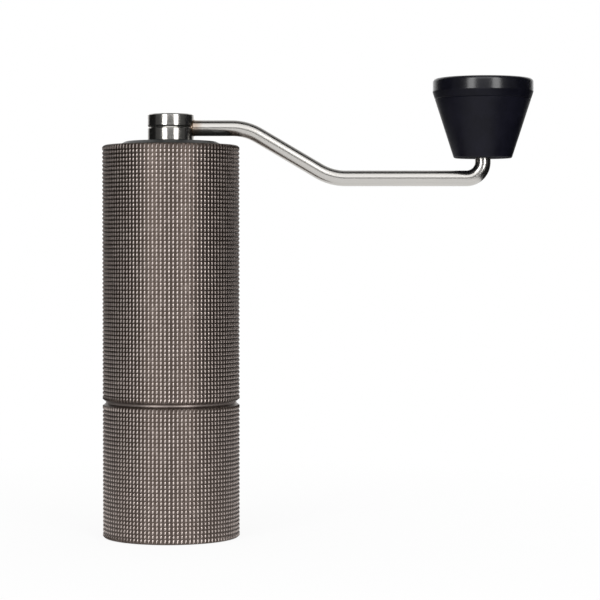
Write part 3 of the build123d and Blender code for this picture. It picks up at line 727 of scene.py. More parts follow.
@dataclass(frozen=True)
class AnodisedFinish(Finish):
    """Blasted and dyed aluminium, smoother on the crests of its knurl, with a painted shade in its grooves and a
    painted highlight on its crests.

    Roughness and metallic run from groove to crest.
    """

    # groove is the dark colour of the painted shade, crest the pale colour of the painted highlight
    groove: Colour
    crest: Colour
    roughness: tuple[float, float]
    metallic: tuple[float, float]
    relief_span: tuple[float, float] = (0.05, 0.6)
    uneven: float = 0.12
    grain: float = 0.12
    depth: float = 0.02
    bump_strength: float = 0.25

    def fill(self, sockets: Sockets, shader: Node) -> None:
        """Mixes the groove's painted shade and the crest's painted highlight by the relief attribute, with a mottle
        in the dye and a fine blasted grain.

        Args:
            sockets: the material's nodes.
            shader: its Principled node.
        """
        where = sockets.node("TexCoord").outputs["Object"]
        relief = sockets.node("Attribute", {"attribute_name": "relief"}).outputs["Fac"]
        grain = Effect.GRAIN.place(sockets, where, Size=self.grain * MM).outputs
        # bright runs from the grooves' painted shade at 0 to the crests' painted highlight at 1
        bright = self._vary(sockets, sockets.span(relief, *self.relief_span, 0.0, 1.0), grain["Mottle"])
        sockets.feed(shader.inputs["Base Color"], sockets.mix(bright, self.groove, self.crest))
        rough = sockets.span(bright, 0.0, 1.0, *self.roughness)
        sockets.feed(shader.inputs["Roughness"], self._vary(sockets, rough, grain["Height"]))
        sockets.feed(shader.inputs["Metallic"], sockets.span(bright, 0.0, 1.0, *self.metallic))
        self.bump(sockets, shader, grain["Height"], self.depth, self.bump_strength)

    def _vary(self, sockets: Sockets, value: Socket, noise: Socket) -> Socket:
        """Moves a value up and down by a noise, evenly about itself."""
        return sockets.math("MULTIPLY_ADD", noise, self.uneven, sockets.math("SUBTRACT", value, 0.5 * self.uneven))


@dataclass(frozen=True)
class MetalFinish(Finish):
    """A bare metal with the marks of its making."""

    colour: Colour
    dull: Colour
    roughness: tuple[float, float]
    marks: Marks
    pitch: float
    depth: float = 0.004
    axis_x: float = 0.0
    heat: Optional[Point] = None
    heat_reach: float = 4.6
    heat_colour: Colour = (0.34, 0.20, 0.11)

    def fill(self, sockets: Sockets, shader: Node) -> None:
        """Lets the marks change colour, roughness and height, and lays the heat tint over the colour.

        Args:
            sockets: the material's nodes.
            shader: its Principled node.
        """
        where = sockets.node("TexCoord").outputs["Object"]
        marks = self._marks(sockets, where)
        colour = sockets.mix(marks, self.dull, self.colour)
        if self.heat is not None:
            centre = tuple(MM * value for value in self.heat)
            tint = Effect.HEAT.place(sockets, where, Reach=self.heat_reach * MM, Centre=centre)
            colour = sockets.mix(tint.outputs["Mask"], colour, self.heat_colour)
        sockets.feed(shader.inputs["Base Color"], colour)
        bright, dull = self.roughness
        sockets.feed(shader.inputs["Roughness"], sockets.span(marks, 0.0, 1.0, dull, bright))
        sockets.feed(shader.inputs["Metallic"], 1.0)
        self.bump(sockets, shader, marks, self.depth)

    def _marks(self, sockets: Sockets, where: Socket) -> Socket:
        """Places the effect for this metal's marks.

        Args:
            sockets: the material's nodes.
            where: object coordinates.

        Returns:
            The marks' value, from 0 to 1.
        """
        if self.marks is Marks.DRAWN:
            along = sockets.node("UVMap", {"uv_map": "along_and_round"}).outputs[0]
            return Effect.DRAWN.place(sockets, along, Pitch=self.pitch * MM).outputs["Lines"]
        if self.marks is Marks.BLASTED:
            return Effect.GRAIN.place(sockets, where, Size=self.pitch * MM).outputs["Height"]
        if self.axis_x:
            shifted = sockets.node("Mapping", Vector=where, Location=(-self.axis_x * MM, 0.0, 0.0))
            where = shifted.outputs[0]
        return Effect.TURNED.place(sockets, where, Pitch=self.pitch * MM).outputs["Lines"]


@dataclass(frozen=True)
class PlasticFinish(Finish):
    """Moulded plastic with a fine satin texture, rubbed a little paler in places."""

    colour: Colour
    rubbed: Colour
    roughness: tuple[float, float]
    grain: float
    depth: float
    gloss: float = 0.3
    polished_above: Optional[float] = None
    coarse_below: Optional[float] = None
    noise_span: tuple[float, float] = (0.2, 0.8)
    coarse_roughness: float = 0.95
    coat_roughness: float = 0.2
    fade: float = 0.2

    def fill(self, sockets: Sockets, shader: Node) -> None:
        """Lets a mottle rub the colour and the gloss, and the grain give the texture.

        A coat polishes a rim, and an underside is left coarse.

        Args:
            sockets: the material's nodes.
            shader: its Principled node.
        """
        where = sockets.node("TexCoord").outputs["Object"]
        height = sockets.node("SeparateXYZ", Vector=where).outputs["Z"]
        grain = Effect.GRAIN.place(sockets, where, Size=self.grain * MM).outputs
        fade = self.fade * MM
        sockets.feed(shader.inputs["Base Color"], sockets.mix(grain["Mottle"], self.colour, self.rubbed))
        halves = [sockets.math("MULTIPLY", grain[name], 0.5) for name in ("Height", "Mottle")]
        rough = sockets.span(sockets.math("ADD", *halves), *self.noise_span, *self.roughness)
        if self.coarse_below is not None:
            edge = self.coarse_below * MM
            coarse = sockets.span(height, edge, edge + fade, self.coarse_roughness, 0.0)
            rough = sockets.math("MAXIMUM", rough, coarse)
        sockets.feed(shader.inputs["Roughness"], rough)
        sockets.feed(shader.inputs["Specular IOR Level"], self.gloss)
        if self.polished_above is not None:
            edge = self.polished_above * MM
            sockets.feed(shader.inputs["Coat Weight"], sockets.span(height, edge - fade, edge + fade, 0.0, 1.0))
            sockets.feed(shader.inputs["Coat Roughness"], self.coat_roughness)
        self.bump(sockets, shader, grain["Height"], self.depth)


HUB_JOINT: Point = (HUB_R, 0.0, levels("crank_hub")[1] - ARM_DEPTH)

# Taupe anodising with painted light: a dark painted shade in grooves, chamfers, threads and bores, a pale painted
# highlight on the crests
ANODISED_PAINTED_LIGHT = AnodisedFinish("anodised_taupe", (0.09, 0.070, 0.060), (0.58, 0.50, 0.463), (0.40, 0.22), (0.92, 0.66))
TURNED_STEEL = MetalFinish(
    "turned_steel", (0.66, 0.64, 0.61), (0.56, 0.54, 0.51), (0.15, 0.22), Marks.TURNED, 0.10, heat=HUB_JOINT,
)
DRAWN_STEEL = MetalFinish(
    "drawn_steel", (0.602, 0.585, 0.559), (0.559, 0.542, 0.516), (0.20, 0.26), Marks.DRAWN, 0.5,
    depth=0.0001, heat=HUB_JOINT,
)
BRAZED = MetalFinish(
    "brazed_joint", (0.30, 0.205, 0.13), (0.20, 0.14, 0.09), (0.3, 0.45), Marks.BLASTED, 0.25, depth=0.01,
)
GRIP_PLASTIC = PlasticFinish(
    "grip_plastic", (0.0030, 0.0030, 0.0065), (0.0050, 0.0050, 0.0105), (0.34, 0.44), 0.20, 0.010,
    gloss=0.16, coarse_below=levels("knob_grip")[0] + 0.05,
)
CAP_PLASTIC = PlasticFinish(
    "cap_plastic", (0.0024, 0.0024, 0.0052), (0.0040, 0.0040, 0.0084), (0.34, 0.44), 0.20, 0.006,
    gloss=0.14, polished_above=levels("knob_cap")[1] - 4.9,
)
LID_PLASTIC = PlasticFinish(
    "lid_plastic", (0.010, 0.0115, 0.011), (0.017, 0.019, 0.018), (0.32, 0.44), 0.16, 0.012,
)

# Finishes of the solids that keep their meshes, by the material slot that each is named after
INNER_FINISHES: dict[str, Finish] = {finish.name: finish for finish in (
    PlasticFinish("dial_plastic", (0.022, 0.022, 0.023), (0.034, 0.034, 0.035), (0.36, 0.5), 0.16, 0.015),
    MetalFinish("bracket_aluminium", (0.62,) * 3, (0.50,) * 3, (0.34, 0.46), Marks.BLASTED, 0.15, depth=0.01),
    MetalFinish("bearing_steel", (0.62, 0.61, 0.60), (0.52, 0.51, 0.50), (0.14, 0.24), Marks.TURNED, 0.06),
    MetalFinish("bearing_shield", (0.55, 0.54, 0.53), (0.46, 0.45, 0.44), (0.26, 0.36), Marks.TURNED, 0.12),
    MetalFinish("ball_steel", (0.70, 0.69, 0.68), (0.62, 0.61, 0.60), (0.06, 0.12), Marks.BLASTED, 0.3, 0.001),
    MetalFinish("burr_steel", (0.50, 0.49, 0.475), (0.36, 0.35, 0.34), (0.24, 0.38), Marks.BLASTED, 0.20, 0.01),
    MetalFinish("screw_steel", (0.56, 0.55, 0.54), (0.44, 0.43, 0.42), (0.24, 0.36), Marks.BLASTED, 0.10, 0.006),
    MetalFinish("shaft_steel", (0.62, 0.61, 0.59), (0.52, 0.51, 0.49), (0.18, 0.28), Marks.TURNED, 0.12),
    MetalFinish("spring_steel", (0.46, 0.45, 0.44), (0.34, 0.33, 0.32), (0.22, 0.34), Marks.BLASTED, 0.12),
    MetalFinish(
        "bush_brass", (0.70, 0.50, 0.22), (0.56, 0.39, 0.16), (0.22, 0.34), Marks.TURNED, 0.10,
        axis_x=joint_x("knob_spin"),
    ),
)}


# Pieces


class SubAssembly(ABC):
    """Pieces of the object that are built and dressed together."""

    @abstractmethod
    def build(self) -> list[Piece]:
        """Builds and dresses the pieces.

        Returns:
            The pieces.
        """

    @staticmethod
    def dress(skin: Skin, finish: Finish, body: str, slot: str, nodes: Sequence[str] = ()) -> Piece:
        """Makes a new piece, with its finish and its place in the model.

        Args:
            skin: the piece's surface.
            finish: its finish.
            body: body that it moves with.
            slot: material slot of the record; not used.
            nodes: solids that it stands for.

        Returns:
            The piece.
        """
        piece = skin.make()
        piece.data.materials.append(finish.material())
        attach(piece, body)
        if nodes:
            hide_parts(*nodes)
        return piece


@dataclass
class KnurledPiece(SubAssembly):
    """A round piece of the grip, knurled between its chamfers and threaded where it meets the other."""

    knurl: Knurl = field(default_factory=Knurl)
    thread: Thread = field(default_factory=Thread)
    crest_r: float = 26.0
    notch_depth: float = 1.2
    notch_chamfer: float = 1.0
    sharp_angle: float = 28.0

    @property
    def notch_run(self) -> float:
        """Height of the chamfer at the notch for each unit of its radius."""
        return self.notch_chamfer / self.notch_depth

    def dress_bands(self, name: str, bands: Sequence[Band], ends: Ends, body: str, node: str) -> Piece:
        """Makes the piece from its bands.

        Args:
            name: the piece's name.
            bands: its bands, one after another along the profile.
            ends: how the first and the last ring close.
            body: body that it moves with.
            node: solid that it stands for.

        Returns:
            The piece.
        """
        band = Band.stack(bands)
        points = band.points(self.knurl.angles())
        skin = Skin(name, points, ends, self.sharp_angle, relief=band.relief, round_crests=True)
        return self.dress(skin, ANODISED_PAINTED_LIGHT, body, "anodised_taupe", [node])


@dataclass
class CatchCup(KnurledPiece):
    """Knurled cup under the burrs, threaded inside its mouth."""

    rows: int = 32
    base_chamfer: float = 0.55
    mouth_r: float = 23.8
    mouth_depth: float = 8.5
    mouth_chamfer: float = 0.3
    ledge_round: float = 0.2
    inner_r: float = 23.0
    floor: float = 2.5
    floor_round: float = 3.0
    thread_cut: float = 0.45
    thread_margin: float = 0.4

    def build(self) -> list[Piece]:
        """Carries base, knurl, threaded mouth and inside round the axis.

        Returns:
            The cup.
        """
        base_z, rim_z = levels("catch_cup")
        ledge_z, floor_z = rim_z - self.mouth_depth, base_z + self.floor
        angles = self.knurl.angles()
        columns = len(angles)
        base = outline([(CENTRE_R, base_z, 0), (self.crest_r - self.base_chamfer, base_z, 0)])
        knurled = (base_z + self.base_chamfer, rim_z - self.notch_chamfer)
        rim = outline([
            (self.crest_r - self.notch_depth, rim_z, 0),
            (self.mouth_r + self.mouth_chamfer, rim_z, 0),
            (self.mouth_r, rim_z - self.mouth_chamfer, 0),
        ])
        threaded = (rim_z - self.thread_margin, ledge_z + self.thread_margin)
        inside = outline([
            (self.mouth_r, ledge_z, 0),
            (self.inner_r, ledge_z, self.ledge_round),
            (self.inner_r, floor_z, self.floor_round),
            (CENTRE_R, floor_z, 0),
        ], steps=8)
        bands = [
            Band.plain(base, columns),
            self.knurl.band(self.crest_r, *knurled, self.rows, EVEN_CHAMFER, self.notch_run),
            Band.plain(rim, columns),
            self.thread.band(self.mouth_r, self.thread_cut, *threaded, angles),
            Band.plain(inside, columns),
        ]
        return [self.dress_bands("knurled_cup", bands, Ends.CENTRES, "cup", "catch_cup")]


@dataclass
class GrinderBody(KnurledPiece):
    """Knurled tube with its threaded neck, hopper and seats."""

    rows: int = 62
    rim_chamfer: float = 0.7
    collar: float = 0.6
    # Relief of the collar, high enough that the finish paints it as a pale highlight line
    collar_highlight_relief: float = 0.3
    neck_r: float = 23.6
    neck_length: float = 8.0
    neck_chamfer: float = 0.6
    recess_r: float = 22.4
    recess: float = 1.5
    mouth_r: float = 22.6
    mouth_chamfer: float = 0.4
    lid_seat_depth: float = 4.2
    hopper_r: float = 22.0
    upper_ledge_depth: float = 37.4
    chamber_r: float = 21.5
    ledge: float = 1.0
    funnel_r: float = 20.5
    funnel: float = 4.1
    shoulder_r: float = 17.8
    burr_seat_r: float = 19.05
    burr_seat: float = 16.5
    rim_step: float = 0.12
    edge_round: float = 0.1
    corner_round: float = 0.08
    funnel_round: float = 0.3
    thread_cut: float = -0.5
    thread_margins: tuple[float, float] = (0.1, 0.2)

    def build(self) -> list[Piece]:
        """Carries neck, knurl, rim and bores round the axis as one closed loop.

        Returns:
            The body.
        """
        neck_z, rim_z = levels("grinder_body")
        seat_z = neck_z + self.neck_length
        recess_z = neck_z + self.recess
        collar_r, collar_z = self.crest_r - self.notch_depth, seat_z + self.collar
        angles = self.knurl.angles()
        columns = len(angles)
        foot = outline([
            (self.recess_r, recess_z, 0),
            (self.recess_r, neck_z, self.edge_round),
            (self.neck_r - self.neck_chamfer, neck_z, self.edge_round),
            (self.neck_r, neck_z + self.neck_chamfer, 0),
        ], steps=2)
        neck = (neck_z + self.neck_chamfer + self.thread_margins[0], seat_z - self.thread_margins[1])
        collar = outline([(self.neck_r, seat_z, 0), (collar_r, seat_z, 0), (collar_r, collar_z, 0)])
        knurled = (collar_z + self.notch_chamfer, rim_z - self.rim_chamfer)
        # The collar's relief paints a highlight line; the other plain bands take the dark painted shade
        bands = [
            Band.plain(foot, columns),
            self.thread.band(self.neck_r, self.thread_cut, *neck, angles),
            Band.plain(collar, columns, self.collar_highlight_relief),
            self.knurl.band(self.crest_r, *knurled, self.rows, self.notch_run, EVEN_CHAMFER),
            Band.plain(self._inside(rim_z, recess_z), columns),
        ]
        return [self.dress_bands("knurled_body", bands, Ends.LOOP, "body", "grinder_body")]

    def _inside(self, rim_z: float, recess_z: float) -> Array:
        """Outline of the rim and the bores.

        Args:
            rim_z: level of the rim.
            recess_z: level of the lower end of the burr's seat.

        Returns:
            Points from the rim's outer edge down to the burr's seat.
        """
        lid_seat_z, upper_ledge_z = rim_z - self.lid_seat_depth, rim_z - self.upper_ledge_depth
        burr_top_z = recess_z + self.burr_seat
        funnel_z = burr_top_z + self.funnel
        lower_ledge_z = funnel_z + self.ledge
        edge, corner = self.edge_round, self.corner_round
        return outline([
            (self.crest_r - self.rim_chamfer - self.rim_step, rim_z, 0),
            (self.mouth_r + self.mouth_chamfer, rim_z, edge),
            (self.mouth_r, rim_z - self.mouth_chamfer, edge),
            (self.mouth_r, lid_seat_z, corner),
            (self.hopper_r, lid_seat_z, edge),
            (self.hopper_r, upper_ledge_z, corner),
            (self.chamber_r, upper_ledge_z, edge),
            (self.chamber_r, lower_ledge_z, corner),
            (self.funnel_r, lower_ledge_z, edge),
            (self.funnel_r, funnel_z, self.funnel_round),
            (self.shoulder_r, burr_top_z, edge),
            (self.burr_seat_r, burr_top_z, 0),
            (self.burr_seat_r, recess_z, 0),
        ], steps=1)


@dataclass
class Lid(SubAssembly):
    """Moulded lid: a sloping edge, a skirt, a boss for the hub's stem and ribs under its roof."""

    edge_r: float = 22.55
    edge: float = 3.0
    slope_r: float = 17.1
    bore_r: float = 6.55
    boss_r: float = 9.5
    boss_depth: float = 6.9
    wall: float = 2.2
    skirt_inner_r: float = 19.8
    skirt_r: float = 21.4
    skirt: float = 4.8
    ribs: int = 6
    rib_half_angle: float = 2.8
    rib_draft_angle: float = 0.4
    rib_clear_angle: float = 2.0
    rib_depth: float = 2.0
    panel_columns: int = 25
    edge_round: float = 0.3
    seat_round: float = 0.15
    slope_round: float = 1.2
    bore_round: float = 0.2

    def build(self) -> list[Piece]:
        """Carries the lid's section round the axis. The roof drops by the ribs' depth in the ribs' sectors.

        Returns:
            The lid.
        """
        skirt_z, top_z = levels("lid")
        seat_z, boss_z = skirt_z + self.skirt, top_z - self.boss_depth
        half, pitch = self.rib_half_angle, 360.0 / self.ribs
        foot, clear = half + self.rib_draft_angle, half + self.rib_clear_angle
        panel = np.linspace(clear, pitch - clear, self.panel_columns)
        sector = np.concatenate([[-foot, -half, half, foot], panel])
        angles = np.radians((np.arange(self.ribs)[:, None] * pitch + sector).ravel())
        under_rib = np.tile(np.concatenate([[0, 1, 1, 0], np.zeros_like(panel)]), self.ribs)
        columns = len(angles)
        shell = outline([
            (self.skirt_inner_r, skirt_z, 0),
            (self.skirt_r, skirt_z, self.edge_round),
            (self.skirt_r, seat_z, 0),
            (self.edge_r, seat_z, self.seat_round),
            (self.edge_r, seat_z + self.edge, self.edge_round),
            (self.slope_r, top_z, self.slope_round),
            (self.bore_r, top_z, self.bore_round),
            (self.bore_r, boss_z, 0),
            (self.boss_r, boss_z, 0),
        ], steps=5)
        roof_z = top_z - self.wall
        roof = Band.plain(outline([(self.boss_r, roof_z, 0), (self.skirt_inner_r, roof_z, 0)]), columns)
        roof.height = roof.height - self.rib_depth * under_rib
        band = Band.stack([Band.plain(shell, columns), roof])
        skin = Skin("moulded_lid", band.points(angles), Ends.LOOP, sharp_angle=40.0)
        return [self.dress(skin, LID_PLASTIC, "lid", "lid_plastic", ["lid"])]


@dataclass
class Crank(SubAssembly):
    """Turned hub with its stem, the bent rod and the joint between them."""

    hub_r: float = HUB_R
    hub_height: float = 10.2
    hub_columns: int = 180
    hub_centre_r: float = 0.4
    chamfer: float = 0.4
    edge_round: float = 0.12
    groove_height: float = 5.3
    groove_half: float = 0.6
    groove_depth: float = 0.45
    groove_round: float = 0.06
    groove_bottom_round: float = 0.08
    stem_r: float = 6.5
    clip_depth: float = 0.6
    clip_play: float = 0.05
    socket_corner_r: float = 4.12
    socket_sides: int = 5
    socket_height: float = 3.2
    socket_chamfer: float = 0.2
    arm_r: float = 3.0
    arm_columns: int = 48
    first_bend: float = 28.6
    slope_angle: float = 30.5
    bend_r: float = 20.0
    end_bend_r: float = 6.2
    arm_seat: float = 3.45
    spindle_r: float = 2.5
    spindle_chamfer: float = 0.3
    shoulder_chamfer: float = 0.2
    knob_entry: float = 1.0
    bead_r: float = 0.16
    bead_steps: int = 72
    bead_columns: int = 12
    bead_waves: int = 17
    bead_unevenness: float = 0.06

    @property
    def hub_z(self) -> float:
        """Level of the hub's underside."""
        return levels("crank_hub")[1] - self.hub_height

    @property
    def arm_z(self) -> float:
        """Level of the rod's axis at the hub."""
        return levels("crank_hub")[1] - ARM_DEPTH

    def clip_groove(self, clip: str) -> tuple[float, float]:
        """Lower and upper level of the groove that a clip sits in."""
        low, high = levels(clip)
        return low - self.clip_play, high + self.clip_play

    def build(self) -> list[Piece]:
        """Builds hub, arm and joint.

        Returns:
            The three pieces.
        """
        return [
            self.dress(self.hub(), TURNED_STEEL, "crank", "crank_steel", ["crank_hub"]),
            self.dress(self.arm(), DRAWN_STEEL, "crank", "crank_steel", ["crank_arm"]),
            self.dress(self.joint(), BRAZED, "crank", "crank_steel"),
        ]

    def hub(self) -> Skin:
        """Turned hub with a five-sided socket.

        The outside is an outline carried round the axis. In the socket the radius at an angle a is the flats'
        distance divided by cos(a from the middle of its flat).

        Returns:
            The hub's surface.
        """
        angles = even_angles(self.hub_columns)
        stem_z, top_z = levels("crank_hub")
        flat = TURN / self.socket_sides
        socket_r = self.socket_corner_r * math.cos(flat / 2) / np.cos(angles % flat - flat / 2)
        socket = Band.plain(np.array([
            (0.0, self.hub_z + self.socket_height),
            (0.0, stem_z + self.socket_chamfer),
            (self.socket_chamfer, stem_z),
        ]), self.hub_columns)
        socket.radius = socket_r + socket.radius
        groove_z = self.hub_z + self.groove_height
        clip_low, clip_high = self.clip_groove("lid_clip")
        inner_r = self.stem_r - self.clip_depth
        side = outline([
            (self.stem_r - self.chamfer, stem_z, 0),
            (self.stem_r, stem_z + self.chamfer, 0),
            (self.stem_r, clip_low, 0),
            (inner_r, clip_low, 0),
            (inner_r, clip_high, 0),
            (self.stem_r, clip_high, 0),
            (self.stem_r, self.hub_z, 0),
            (self.hub_r - self.chamfer, self.hub_z, self.edge_round),
            (self.hub_r, self.hub_z + self.chamfer, self.edge_round),
            (self.hub_r, groove_z - self.groove_half, self.groove_round),
            (self.hub_r - self.groove_depth, groove_z, self.groove_bottom_round),
            (self.hub_r, groove_z + self.groove_half, self.groove_round),
            (self.hub_r, top_z - self.chamfer, self.edge_round),
            (self.hub_r - self.chamfer, top_z, self.edge_round),
            (self.hub_centre_r, top_z, 0),
        ])
        band = Band.stack([socket, Band.plain(side, self.hub_columns)])
        return Skin("turned_hub", band.points(angles), Ends.CENTRES, sharp_angle=32.0)

    def arm(self) -> Skin:
        """Bent rod: circles set square to a path of straight runs and bends, smaller on the turned spindle.

        With the path's direction (u, w) in the XZ plane, a circle's point is the path's point + radius
        (-w cos a, -sin a, u cos a).

        Returns:
            The arm's surface, with a map along and round the rod.
        """
        bottom_z, top_z = levels("crank_arm")
        low_z, reach = bottom_z + self.arm_r, joint_x("knob_spin")
        second_bend = self.first_bend + (self.arm_z - low_z) / math.tan(math.radians(self.slope_angle))
        spindle_z = levels("knob_grip")[0] + self.knob_entry
        path = outline([
            (self.hub_r - self.arm_seat, self.arm_z, 0),
            (self.first_bend, self.arm_z, self.bend_r),
            (second_bend, low_z, self.bend_r),
            (reach, low_z, self.end_bend_r),
            (reach, spindle_z - self.shoulder_chamfer, 0),
        ], steps=28)
        clip_low, clip_high = self.clip_groove("knob_clip")
        clip_r = self.spindle_r - self.clip_depth
        tip_z, tip_r = np.array([
            (spindle_z, self.arm_r - self.shoulder_chamfer),
            (spindle_z, self.spindle_r),
            (clip_low, self.spindle_r),
            (clip_low, clip_r),
            (clip_high, clip_r),
            (clip_high, self.spindle_r),
            (top_z - self.spindle_chamfer, self.spindle_r),
            (top_z, self.spindle_r - self.spindle_chamfer),
        ]).T
        upright = np.stack([np.full_like(tip_z, reach), tip_z], axis=-1)
        radius = np.concatenate([np.full(len(path), self.arm_r), tip_r])
        tangent = np.gradient(path, axis=0)
        tangent[0], tangent[-1] = (1.0, 0.0), (0.0, 1.0)
        tangent = np.concatenate([tangent, np.tile([0.0, 1.0], (len(tip_z), 1))])
        tangent /= np.linalg.norm(tangent, axis=1, keepdims=True)
        path = np.concatenate([path, upright])
        angles = even_angles(self.arm_columns)
        rise = radius[:, None] * np.cos(angles)
        points = np.stack([
            path[:, :1] - tangent[:, 1:] * rise,
            -radius[:, None] * np.sin(angles),
            path[:, 1:] + tangent[:, :1] * rise,
        ], axis=-1)
        along = np.concatenate([[0.0], np.cumsum(np.linalg.norm(np.diff(path, axis=0), axis=1))])
        around = np.linspace(0.0, TURN * self.arm_r, len(angles) + 1)
        return Skin("bent_arm", points, Ends.CENTRES, sharp_angle=32.0, length_map=(along, around))

    def joint(self) -> Skin:
        """Thin brazed bead where the rod enters the hub.

        Its centre line is the curve of the rod on the hub: y = r cos t, z = height + r sin t and x the place on
        the hub's wall at that y. Small circles stand square to that line, wider and narrower by a sine of t.

        Returns:
            The bead's surface.
        """
        turn = even_angles(self.bead_steps)
        side, rise = np.cos(turn), np.sin(turn)
        wall_x = np.sqrt(self.hub_r ** 2 - (self.arm_r * side) ** 2)
        line = np.stack([wall_x, self.arm_r * side, self.arm_z + self.arm_r * rise], axis=-1)
        tangent = np.roll(line, -1, axis=0) - np.roll(line, 1, axis=0)
        tangent /= np.linalg.norm(tangent, axis=1, keepdims=True)
        outward = np.stack([np.zeros_like(side), side, rise], axis=-1)
        outward -= (outward * tangent).sum(axis=1, keepdims=True) * tangent
        outward /= np.linalg.norm(outward, axis=1, keepdims=True)
        bead_r = self.bead_r * (1.0 + self.bead_unevenness * np.sin(self.bead_waves * turn))
        points = tube(line, outward, np.cross(tangent, outward), bead_r, self.bead_columns)
        return Skin("joint_bead", points, Ends.LOOP, sharp_angle=60.0)


@dataclass
class Knob(SubAssembly):
    """Conical grip and its cap, about the spindle's axis."""

    low_r: float = 11.0
    wide_r: float = 19.1
    cone: float = 25.1
    edge_chamfer: float = 0.3
    top_round: float = 1.4
    seam_depth: float = 2.8
    seam_chamfer: float = 0.2
    entry_r: float = 3.3
    bush_r: float = 4.51
    flange_r: float = 5.91
    flange: float = 1.0
    seat_width: float = 3.3
    plug_wall: float = 1.6
    plug_depth: float = 4.0
    plug_play: float = 0.01
    plug_room: float = 0.05
    top_wall: float = 2.2
    edge_round: float = 0.15
    seam_round: float = 0.06
    rim_round: float = 0.5
    columns: int = 160

    @property
    def slope(self) -> float:
        """Growth of the radius for each unit of height."""
        return (self.wide_r - self.low_r) / self.cone

    @property
    def wide_z(self) -> float:
        """Level where the cone ends and the cap's upright rim starts."""
        return levels("knob_grip")[0] + self.cone

    @property
    def seam_z(self) -> float:
        """Level of the seam between grip and cap."""
        return self.wide_z - self.seam_depth

    @property
    def seam_r(self) -> float:
        """Radius of the cone at the seam."""
        return self.wide_r - self.slope * self.seam_depth

    def build(self) -> list[Piece]:
        """Builds grip and cap.

        Returns:
            The two pieces.
        """
        return [
            self.dress(self.grip(), GRIP_PLASTIC, "knob", "knob_plastic", ["knob_grip"]),
            self.dress(self.cap(), CAP_PLASTIC, "knob", "knob_plastic", ["knob_cap"]),
        ]

    def _turn(self, name: str, section: Array, ends: Ends) -> Skin:
        """Carries a section round the spindle's axis."""
        points = Band.plain(section, self.columns).points(even_angles(self.columns), joint_x("knob_spin"))
        return Skin(name, points, ends, sharp_angle=32.0)

    def grip(self) -> Skin:
        """Conical grip with its entry, its bore for the bush and the recess for the cap's plug.

        Returns:
            The grip's surface.
        """
        low_z = levels("knob_grip")[0]
        bush_z, bush_top_z = levels("knob_bush")
        floor_z = bush_top_z - self.flange
        recess_r = self.seam_r - self.seat_width + self.plug_play
        return self._turn("knob_lower", outline([
            (self.entry_r, low_z, 0),
            (self.low_r - self.edge_chamfer, low_z, self.edge_round),
            (self.low_r + self.edge_chamfer * self.slope, low_z + self.edge_chamfer, self.edge_round),
            (self.seam_r - self.seam_chamfer * self.slope, self.seam_z - self.seam_chamfer, self.seam_round),
            (self.seam_r - self.seam_chamfer, self.seam_z, 0),
            (recess_r, self.seam_z, 0),
            (recess_r, self.seam_z - self.plug_depth - self.plug_room, 0),
            (self.flange_r, floor_z, 0),
            (self.bush_r, floor_z, 0),
            (self.bush_r, bush_z, 0),
            (self.entry_r, bush_z, 0),
        ]), Ends.LOOP)

    def cap(self) -> Skin:
        """Cap with the widest rim, a rounded top edge and a hollow plug.

        Returns:
            The cap's surface.
        """
        top_z = levels("knob_cap")[1]
        plug_r, plug_z = self.seam_r - self.seat_width, self.seam_z - self.plug_depth
        return self._turn("knob_upper", outline([
            (CENTRE_R, top_z - self.top_wall, 0),
            (plug_r - self.plug_wall, top_z - self.top_wall, 0),
            (plug_r - self.plug_wall, plug_z, 0),
            (plug_r, plug_z, 0),
            (plug_r, self.seam_z + self.plug_play, 0),
            (self.seam_r - self.seam_chamfer, self.seam_z + self.plug_play, 0),
            (self.seam_r + self.seam_chamfer * self.slope, self.seam_z + self.seam_chamfer, self.seam_round),
            (self.wide_r, self.wide_z, self.rim_round),
            (self.wide_r, top_z, self.top_round),
            (CENTRE_R, top_z, 0),
        ], steps=10), Ends.CENTRES)


@dataclass
class BurrSpring(SubAssembly):
    """Spring between the shaft's washer and the cone burr, which gives way as the burr slides."""

    mean_r: float = 5.1
    wire_r: float = 0.5
    turns: float = 3.5
    steps: int = 168
    columns: int = 16

    def build(self) -> list[Piece]:
        """Builds the spring in place at rest, gives it its finish and hides the solid that it stands for.

        Returns:
            The spring.
        """
        low_z, high_z = levels("burr_spring")
        piece = self.coil(low_z, high_z).make()
        piece.data.materials.append(INNER_FINISHES["spring_steel"].material())
        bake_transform(piece)
        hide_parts("burr_spring")
        return [piece]

    def coil(self, low_z: float, high_z: float) -> Skin:
        """Round wire on a helix.

        The wire's line is x = r cos a, y = r sin a, with the height in proportion to a. A section's circle is
        spanned by the outward direction and by the one square to it and to the line.

        Args:
            low_z: level of the spring's lower end.
            high_z: level of its upper end.

        Returns:
            The spring's surface.
        """
        turn = np.linspace(0.0, TURN * self.turns, self.steps)
        climb = (high_z - low_z - 2 * self.wire_r) / turn[-1]
        outward = np.stack([np.cos(turn), np.sin(turn), np.zeros_like(turn)], axis=-1)
        ahead = self.mean_r * np.stack([-outward[:, 1], outward[:, 0], np.zeros_like(turn)], axis=-1)
        ahead[:, 2] = climb
        ahead /= np.linalg.norm(ahead, axis=1, keepdims=True)
        line = self.mean_r * outward
        line[:, 2] = low_z + self.wire_r + climb * turn
        points = tube(line, outward, np.cross(ahead, outward), self.wire_r, self.columns)
        return Skin("wound_spring", points, Ends.CENTRES, sharp_angle=40.0)


@dataclass
class Mechanism(SubAssembly):
    """Solids that keep their own meshes: bearings, shaft, burrs, dial and small parts."""

    finishes: dict[str, Finish] = field(default_factory=lambda: INNER_FINISHES)

    def build(self) -> list[Piece]:
        """Gives each solid the finish of its material slot, where the slot is one of the mechanism's.

        Returns:
            The solids with a finish.
        """
        slots = {part["node"]: part["material_slot"] for part in frame["record"]["subparts"]}
        dressed = []
        for name, piece in frame["nodes"].items():
            finish = self.finishes.get(slots[name])
            if finish is not None:
                piece.data.materials.clear()
                piece.data.materials.append(finish.material())
                dressed.append(piece)
        return dressed


